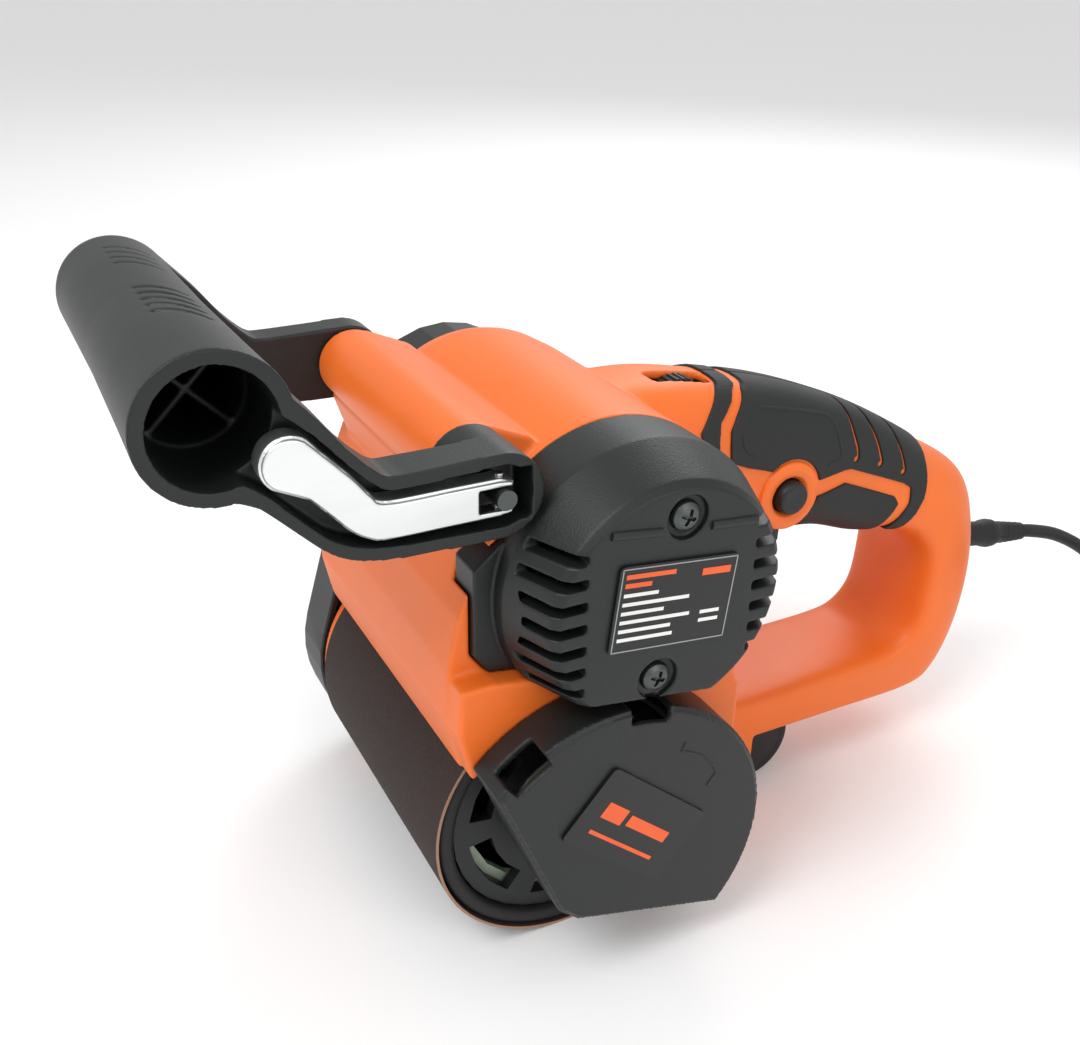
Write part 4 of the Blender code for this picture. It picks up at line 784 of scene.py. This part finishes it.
def guard_outline(inset=0.0):
    """Round guard with a front chord, a bottom chord and a cut corner between them."""
    front, low = math.radians(204.0), math.radians(252.6)
    reach = COVER_CHORD - inset
    radius = COVER_RADIUS - inset
    swing = math.acos(reach / radius)
    rim = arc(DRUM, radius, math.degrees(low + swing) - 360.0, math.degrees(front - swing), 96)
    meet = Vector((math.cos((front + low) / 2), math.sin((front + low) / 2))) * (reach + 0.0012)
    across = Vector((-meet.y, meet.x)).normalized() * 0.0042
    centre = Vector(DRUM)
    return rim + [tuple(centre + meet - across), tuple(centre + meet + across)]


def side_cover():
    """Guard shell, open towards the drum, with two windows in its rim, raised lines and a plate with bars."""
    cover = slab("side_cover_shell", guard_outline(), -0.0740, -0.0585)
    join(cover, slab("cover_face", guard_outline(0.0012), -0.0750, -0.0735))
    windows = []
    for middle in WINDOW_MIDDLES:
        low, high = middle - WINDOW_HALF, middle + WINDOW_HALF
        outline = arc(DRUM, WINDOW_OUTER, low, high, 6) + arc(DRUM, WINDOW_INNER, high, low, 6)
        windows.append(slab("window", outline, -0.0765, -0.0660))
    cut(cover, slab("pocket", guard_outline(0.0021), -0.0728, -0.050),
        ring("rail_space", 0.0486, RAIL_INNER, -0.0602, -0.0500, DRUM), *windows)
    mould(cover, 0.0005, 3, 60000)
    tree = surface_of(cover)
    place(cover, BLACK, "side_cover", "side_cover", slot="black")
    for name, line in COVER_LINES.items():
        inlay(name, line, 0.0007, 0.0003, tree, BLACK, "side_cover")
    centre = (DRUM[0] + 0.006, DRUM[1] + 0.0107)
    badge = plate("cover_plate", centre, (0.0430, 0.0255), COVER_TILT)
    place(badge, LABEL, "side_cover", "cover_badge", slot="label")
    rows = [(-0.0150, 0.0008, 0.0085, 0.0052, ORANGE_PRINT), (-0.0045, 0.0008, 0.0175, 0.0036, ORANGE_PRINT),
            (-0.0150, -0.0068, 0.0280, 0.0012, ORANGE_PRINT)]
    print_rows("plate_bar", rows, centre, COVER_TILT, "side_cover")


# ---------------------------------------------------------------- front handle and lever

ARM_LOWER = [(-0.0950, 0.1720), (-0.0900, 0.1700), (-0.0860, 0.1670), (-0.0750, 0.1560), (-0.0690, 0.1520),
             (-0.0620, 0.1500), (-0.0530, 0.1490)]
ARM_UPPER = [(-0.0500, 0.1710), (-0.0560, 0.1710), (-0.0600, 0.1722), (-0.0670, 0.1790), (-0.0740, 0.1880),
             (-0.0840, 0.1990)]
RECESS_LOWER = [(-0.0920, 0.1760), (-0.0860, 0.1715), (-0.0750, 0.1600), (-0.0690, 0.1558), (-0.0620, 0.1535),
                (-0.0530, 0.1525)]
RECESS_UPPER = [(-0.0510, 0.1672), (-0.0580, 0.1675), (-0.0620, 0.1700), (-0.0680, 0.1760), (-0.0750, 0.1840),
                (-0.0840, 0.1920)]


WIRE_RADIUS = 0.0008
WIRE_BENDS = 9
WIRE_STEPS = 10


def rounded(points):
    return [tuple(point) for point in smooth_line(points, 5)]


def arm_outline(low, high, radius, count):
    """An arm of the bail: its lower line, round the clamp rod, and back along its upper line."""
    return rounded(low) + arc(BOSS, radius, -90.0, 90.0, count) + rounded(high)


def grip_marks():
    """Fine curved cuts across the grip, in two groups."""
    marks = []
    for first, count in ((0.0420, 4), (-0.0010, 5)):
        for index in range(count):
            marks.append(surface_wire(first - 0.0058 * index))
    return marks


def surface_wire(along):
    """A thin round wire bent over the grip's top, running nearer the label side as it goes to the rear."""
    rings = []
    for i in range(WIRE_BENDS):
        share = i / (WIRE_BENDS - 1)
        angle = math.radians(103.0 - 42.0 * share)
        out = Vector((math.cos(angle), 0.0, math.sin(angle)))
        ahead = Vector((math.sin(angle), -0.55, -math.cos(angle))).normalized()
        middle = Vector((GRIP[0], along - 0.0070 * share, GRIP[1])) + out * 0.01645
        across = ahead.cross(out)
        turns = [2 * math.pi * k / WIRE_STEPS for k in range(WIRE_STEPS)]
        rings.append([middle + (out * math.cos(t) + across * math.sin(t)) * WIRE_RADIUS for t in turns])
    return loft("wire", rings)


def front_handle():
    """Bail handle: a hollow ribbed grip tube between two arms, the near one with a recess for the lever."""
    arm = arm_outline(ARM_LOWER, ARM_UPPER, 0.0115, 32)
    handle = slab("front_handle_shell", arm, -0.0600, -0.0480)
    far_arm = slab("far_arm", arm, 0.0500, 0.0600)
    tube_profile = [(0.0, 0.0602), (0.0118, 0.0601), (0.0142, 0.0592), (0.0154, 0.0570), (0.0159, 0.0540),
                    (0.0162, 0.0), (0.0172, -0.0400), (0.0178, -0.0600), (0.0, -0.0600)]
    join(handle, far_arm, turned("handle_tube", tube_profile, GRIP, 160),
         disc("near_hub", 0.0113, -0.0500, BOSS_NEAR - 0.0003, BOSS))
    deep = disc("tube_depth", 0.0132, -0.0331, 0.0500, GRIP, 128)
    ribs = [block("tube_rib", (GRIP[0], 0.010, GRIP[1]), (0.040, 0.120, 0.0016), math.radians(turn))
            for turn in (45.0, -45.0)]
    cut(deep, *ribs)
    recess = slab("recess", arm_outline(RECESS_LOWER, RECESS_UPPER, 0.0083, 24), -0.0620, -0.0525)
    cut(handle, disc("tube_mouth", 0.0142, -0.0620, -0.0330, GRIP, 128), deep, recess,
        block("cam_space", (BOSS[0], -0.0560, BOSS[1]), (0.0160, 0.0130, 0.0140)),
        disc("rod_hole", 0.0028, -0.065, 0.065, BOSS, 48), *grip_marks())
    mould(handle, 0.00048, 3, 110000)
    place(handle, BLACK, "front_handle", "front_handle", slot="black")


LEVER_LOW = [(-0.0300, 0.1549), (-0.0420, 0.1549), (-0.0590, 0.1550), (-0.0640, 0.1564), (-0.0680, 0.1592),
             (-0.0720, 0.1636), (-0.0770, 0.1690)]
LEVER_HIGH = [(-0.0735, 0.1800), (-0.0670, 0.1730), (-0.0630, 0.1680), (-0.0590, 0.1652), (-0.0420, 0.1651),
              (-0.0300, 0.1651)]
LEVER_PAD = (-0.0810, 0.1784)


def lever_outline(grow):
    low = [(x, z - grow) for x, z in LEVER_LOW]
    high = [(x, z + grow) for x, z in LEVER_HIGH]
    clamp_end = [(-0.0262 + grow, 0.1640), (-0.0255 + grow, 0.1600), (-0.0262 + grow, 0.1560)]
    return rounded(low) + arc(LEVER_PAD, 0.0068 + grow, 235.0, 50.0, 32) + rounded(high) + clamp_end


def cam_lever():
    """Stamped steel channel: a face with a raised middle over side walls that fork round the clamp rod."""
    lever = slab("cam_lever_shell", lever_outline(0.0), -0.0600, -0.0545)
    join(lever, slab("lever_face", lever_outline(-0.0007), -0.0610, -0.0598))
    cut(lever, block("fork", (-0.0291, -0.0570, 0.1600), (0.0134, 0.0200, 0.0062)),
        slab("channel", lever_outline(-0.0013), -0.0597, -0.0500),
        bar("pin_hole", (BOSS[0], -0.057, 0.148), (BOSS[0], -0.057, 0.172), 0.0015))
    mould(lever, 0.00028, 3, 40000)
    place(lever, BRIGHT_STEEL, "cam_lever", "cam_lever", slot="steel")


# ---------------------------------------------------------------- drum

SLEEVE_OUTER = 0.0450
SLEEVE_INNER = 0.0442
SLEEVE_HALF = 0.0498


def drum():
    """Abrasive sleeve with its paler cut edge, over a rubber tyre with rounded ends."""
    sleeve = ring("sanding_sleeve", SLEEVE_OUTER, SLEEVE_INNER, -SLEEVE_HALF, SLEEVE_HALF, DRUM, 200)
    place(shade(sleeve), ABRASIVE, "drum", "abrasive_sleeve", slot="abrasive")
    edge = [(SLEEVE_INNER, -SLEEVE_HALF), (SLEEVE_OUTER, -SLEEVE_HALF), (SLEEVE_OUTER, -0.0500),
            (SLEEVE_INNER, -0.0500)]
    place(turned("sleeve_edge", edge, DRUM, 200, hollow=True), SLEEVE_EDGE, "drum")
    pad = [(0.0387, 0.0494), (0.0430, 0.0494), (0.0440, 0.0484), (0.0440, -0.0470), (0.0436, -0.0484),
           (0.0426, -0.0493), (0.0405, -0.0495), (0.0390, -0.0486), (0.0387, -0.0470)]
    tyre = turned("drum_tyre", pad, DRUM, 200, hollow=True)
    place(shade(tyre, 50.0), RUBBER, "drum", "drum_pad", slot="rubber")


# ---------------------------------------------------------------- controls and rollers

def wheel_outline(axis, radius, depth, teeth):
    """A wheel's rim with shallow teeth; each has a flat crest and slanted sides."""
    points = []
    for index in range(teeth):
        middle = 2 * math.pi * index / teeth
        for reach, share in ((radius - depth, -0.7), (radius, -0.35), (radius, 0.35), (radius - depth, 0.7)):
            angle = middle + share * math.pi / teeth
            points.append((axis[0] + reach * math.cos(angle), axis[1] + reach * math.sin(angle)))
    return points


def controls():
    """Speed wheel, lock button and trigger."""
    dial = slab("speed_wheel", wheel_outline(DIAL, 0.0098, 0.0006, 30), -0.0070, -0.0010)
    place(shade(dial), BLACK, "speed_dial", "speed_dial", slot="black")
    cap = [(0.0, -0.0125), (0.0058, -0.0125), (0.0058, -0.0212), (0.0054, -0.0221), (0.0046, -0.0226),
           (0.0030, -0.0223), (0.0, -0.0221)]
    button = shade(turned("button_cap", cap, BUTTON, 96), 50.0)
    place(button, BLACK, "lock_button", "lock_button", slot="black")
    finger_side = rounded([(0.0790, 0.0965), (0.0860, 0.0905), (0.0920, 0.0893), (0.0975, 0.0895),
                           (0.1020, 0.0935), (0.1028, 0.0985), (0.1025, 0.1035)])
    outline = finger_side + [(0.0985, 0.1060), (0.0790, 0.1060)]
    trigger = mould(slab("trigger_shell", outline, -0.0088, 0.0088), 0.0004, 3, 12000)
    place(trigger, BLACK, "trigger", "trigger", slot="black")


def rollers():
    """Two rear rollers, mirror images, with a shallow groove on the outer face and a bore from inside."""
    start, end, radius, edge = 0.0027, 0.0175, 0.0162, 0.0012
    bore, groove, web = 0.0032, 0.0004, 0.0030
    half = [(0.0, end), (0.0120, end), (0.0128, end - groove), (radius - edge, end),
            (radius - 0.0003, end - groove), (radius, end - edge), (radius, start + edge),
            (radius - edge, start), (bore, start), (bore, end - web), (0.0, end - web)]
    for side, name in ((-1, "near"), (1, "far")):
        tyre = turned(f"roller_{name}_tyre", [(r, side * y) for r, y in half], ROLLER, 120)
        place(shade(tyre), RUBBER, f"roller_{name}", f"rear_roller_{name}", slot="rubber")


# ---------------------------------------------------------------- cord

CORD_RADIUS = 0.00275
CORD_CLEARANCE = 0.0001
# The free stretch, out of the strain relief and down to the floor
CORD_ROUTE = [
    (0.2380, 0.0, 0.0638),
    (0.2445, 0.0, 0.0625),
    (0.2600, 0.0, 0.0575),
    (0.2760, -0.0010, 0.0490),
    (0.2920, -0.0035, 0.0370),
    (0.3060, -0.0070, 0.0240),
    (0.3190, -0.0100, 0.0120),
    (0.3330, -0.0125, 0.0045),
    (0.3480, -0.0160, 0.0030),
]
COIL_CENTRE = (0.338, -0.056)
COIL_START = math.radians(54.0)
COIL_OUTER = 0.0365
COIL_TURNS = 8.14
POINTS_A_TURN = 36
LAYER = 2 * CORD_RADIUS
PLUG_CENTRE = (0.326, -0.1230, 0.0085)
# From the top of the coil over its edge and down into the plug
TAIL = [
    (0.3668, -0.0650, 0.0197),
    (0.3700, -0.0780, 0.0194),
    (0.3730, -0.0900, 0.0150),
    (0.3740, -0.1010, 0.0095),
    (0.3690, -0.1120, 0.0080),
    (0.3590, -0.1200, 0.0085),
    (0.3440, -0.1230, 0.0085),
]


def ease(turns, start, width=0.12):
    """A smooth step from 0 to 1 that begins at start."""
    share = min(1.0, max(0.0, (turns - start) / width))
    return share * share * (3.0 - 2.0 * share)


def coil_point(turns):
    """Three layers, each three turns wide: inwards, outwards, inwards. The steps spread round the ring."""
    steps_in = (ease(turns, 0.80) + ease(turns, 1.80) - ease(turns, 3.52) - ease(turns, 4.52)
                + ease(turns, 6.24) + ease(turns, 7.24))
    steps_up = ease(turns, 2.66) + ease(turns, 5.38) + ease(turns, 7.96, 0.16)
    radius = COIL_OUTER - LAYER * steps_in
    height = CORD_RADIUS + CORD_CLEARANCE + LAYER * steps_up
    angle = COIL_START - 2 * math.pi * turns
    return (COIL_CENTRE[0] + radius * math.cos(angle), COIL_CENTRE[1] + radius * math.sin(angle), height)


def cord():
    """The whole lead as one tube: free stretch, coil, and tail to the plug."""
    count = int(COIL_TURNS * POINTS_A_TURN)
    coil = [Vector(coil_point(COIL_TURNS * i / count)) for i in range(count + 1)]
    lead_in = smooth_line(CORD_ROUTE + [tuple(coil[0])], 4)[:-1]
    lead_out = smooth_line([tuple(coil[-1])] + TAIL, 5)[1:]
    points = lead_in + coil + lead_out
    curve = bpy.data.curves.new("mains_cord", "CURVE")
    curve.dimensions = "3D"
    curve.bevel_depth = CORD_RADIUS
    curve.bevel_resolution = 5
    curve.use_fill_caps = True
    spline = curve.splines.new("POLY")
    spline.points.add(len(points) - 1)
    for target, spot in zip(spline.points, points):
        target.co = (*(spot + OFFSET), 1.0)
    spline.use_smooth = True
    lead = new_object("mains_cord", curve)
    curve.materials.append(RUBBER)
    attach(lead, "housing")
    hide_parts("cord", "cord_coil")
    relief = strain_relief()
    body = mains_plug()


def strain_relief():
    """Collar, neck, bead and a ribbed tapered tail."""
    profile = [(0.0, 0.0), (0.0085, 0.0), (0.0085, -0.0030), (0.0050, -0.0032), (0.0049, -0.0170),
               (0.0055, -0.0192), (0.0058, -0.0215), (0.0055, -0.0240), (0.0046, -0.0262)]
    for rib in range(4):
        along = -0.0285 - 0.0032 * rib
        radius = 0.0045 - 0.00022 * rib
        profile += [(radius, along), (radius, along - 0.0014), (radius - 0.0006, along - 0.0018),
                    (radius - 0.0006, along - 0.0027)]
    profile += [(0.0036, -0.0419), (0.0, -0.0419)]
    relief = turned("strain_relief", profile, (0.0, 0.0), 64)
    slope = math.radians(-10.0)
    turn = Matrix.Rotation(-math.pi / 2 - slope, 4, "Y") @ Matrix.Rotation(math.pi / 2, 4, "X")
    relief.data.transform(Matrix.Translation((0.1962, 0.0, 0.0712)) @ turn)
    shade(relief, 40.0)
    return place(relief, RUBBER, "housing", "cord_gland", slot="rubber")


def mains_plug():
    """Flat two-pin plug with a waisted body and a tapered cable sleeve."""
    outline = rounded([(-0.0175, -0.0145), (-0.0125, -0.0172), (-0.0040, -0.0165), (0.0080, -0.0110),
                       (0.0160, -0.0062), (0.0180, -0.0045)])
    shape = slab("plug_body", outline + [(x, -z) for x, z in reversed(outline)], -0.0068, 0.0068)
    mould(shape, 0.0005, 5, 16000)
    shape.data.transform(Matrix.Translation(PLUG_CENTRE) @ Matrix.Rotation(math.pi / 2, 4, "X"))
    plug = place(shape, RUBBER, "housing", "plug", slot="rubber")
    pins = None
    for offset in (-0.0095, 0.0095):
        first = (PLUG_CENTRE[0] - 0.0160, PLUG_CENTRE[1] + offset, PLUG_CENTRE[2])
        last = (PLUG_CENTRE[0] - 0.0369, PLUG_CENTRE[1] + offset, PLUG_CENTRE[2])
        pin = bar("plug_pins", first, last, 0.0020, 40)
        pins = pin if pins is None else join(pins, pin)
    place(shade(pins), BRIGHT_STEEL, "housing", slot="steel")
    pins.parent = plug
    pins.matrix_parent_inverse = plug.matrix_world.inverted()
    return plug


# ---------------------------------------------------------------- carried pieces

WELD_DISTANCE = 0.000002
EDGE_RADIUS = 0.0003


def carried():
    """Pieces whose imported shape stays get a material, and some that show also get rounded edges."""
    looks = {
        DARK_STEEL: ["stator_core", "armature_shaft", "armature_core", "gear_shaft", "drum_shaft",
                     "clamp_rod", "rear_axle", "housing_screw_1", "housing_screw_2", "belt_cover_screw_1",
                     "belt_cover_screw_2"],
        COPPER: ["field_coil_upper", "field_coil_lower", "commutator"],
        PLAIN_STEEL: ["pinion", "armature_bearing_near", "armature_bearing_far", "gear_shaft_bearing",
                      "drum_bearing_near", "drum_bearing_far", "drum_nut", "cross_pin"],
        ALUMINIUM: ["drive_pulley", "drum_pulley", "brush_holder_front", "brush_holder_rear"],
        HUB: ["reduction_gear", "cooling_fan", "drum_hub"],
        CARBON: ["carbon_brush_front", "carbon_brush_rear"],
        RUBBER: ["drive_belt"],
        BLACK: ["belt_cover", "clamp_nut", "switch_body", "speed_controller", "drum_core"],
    }
    for mat, names in looks.items():
        for name in names:
            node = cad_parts[name]
            node.data.materials.clear()
            node.data.materials.append(mat)
    for name in ("belt_cover", "clamp_nut", "drum_hub", "drum_core", "drum_nut"):
        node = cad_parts[name]
        weld = node.modifiers.new("weld", "WELD")
        weld.merge_threshold = WELD_DISTANCE
        edge = node.modifiers.new("bevel", "BEVEL")
        edge.width = EDGE_RADIUS
        edge.segments = 2
        edge.limit_method = "ANGLE"
        edge.angle_limit = math.radians(35.0)


camera()
studio()
cord()
housing_shell()
soft_grips()
end_cap()
side_cover()
front_handle()
cam_lever()
drum()
controls()
rollers()
carried()
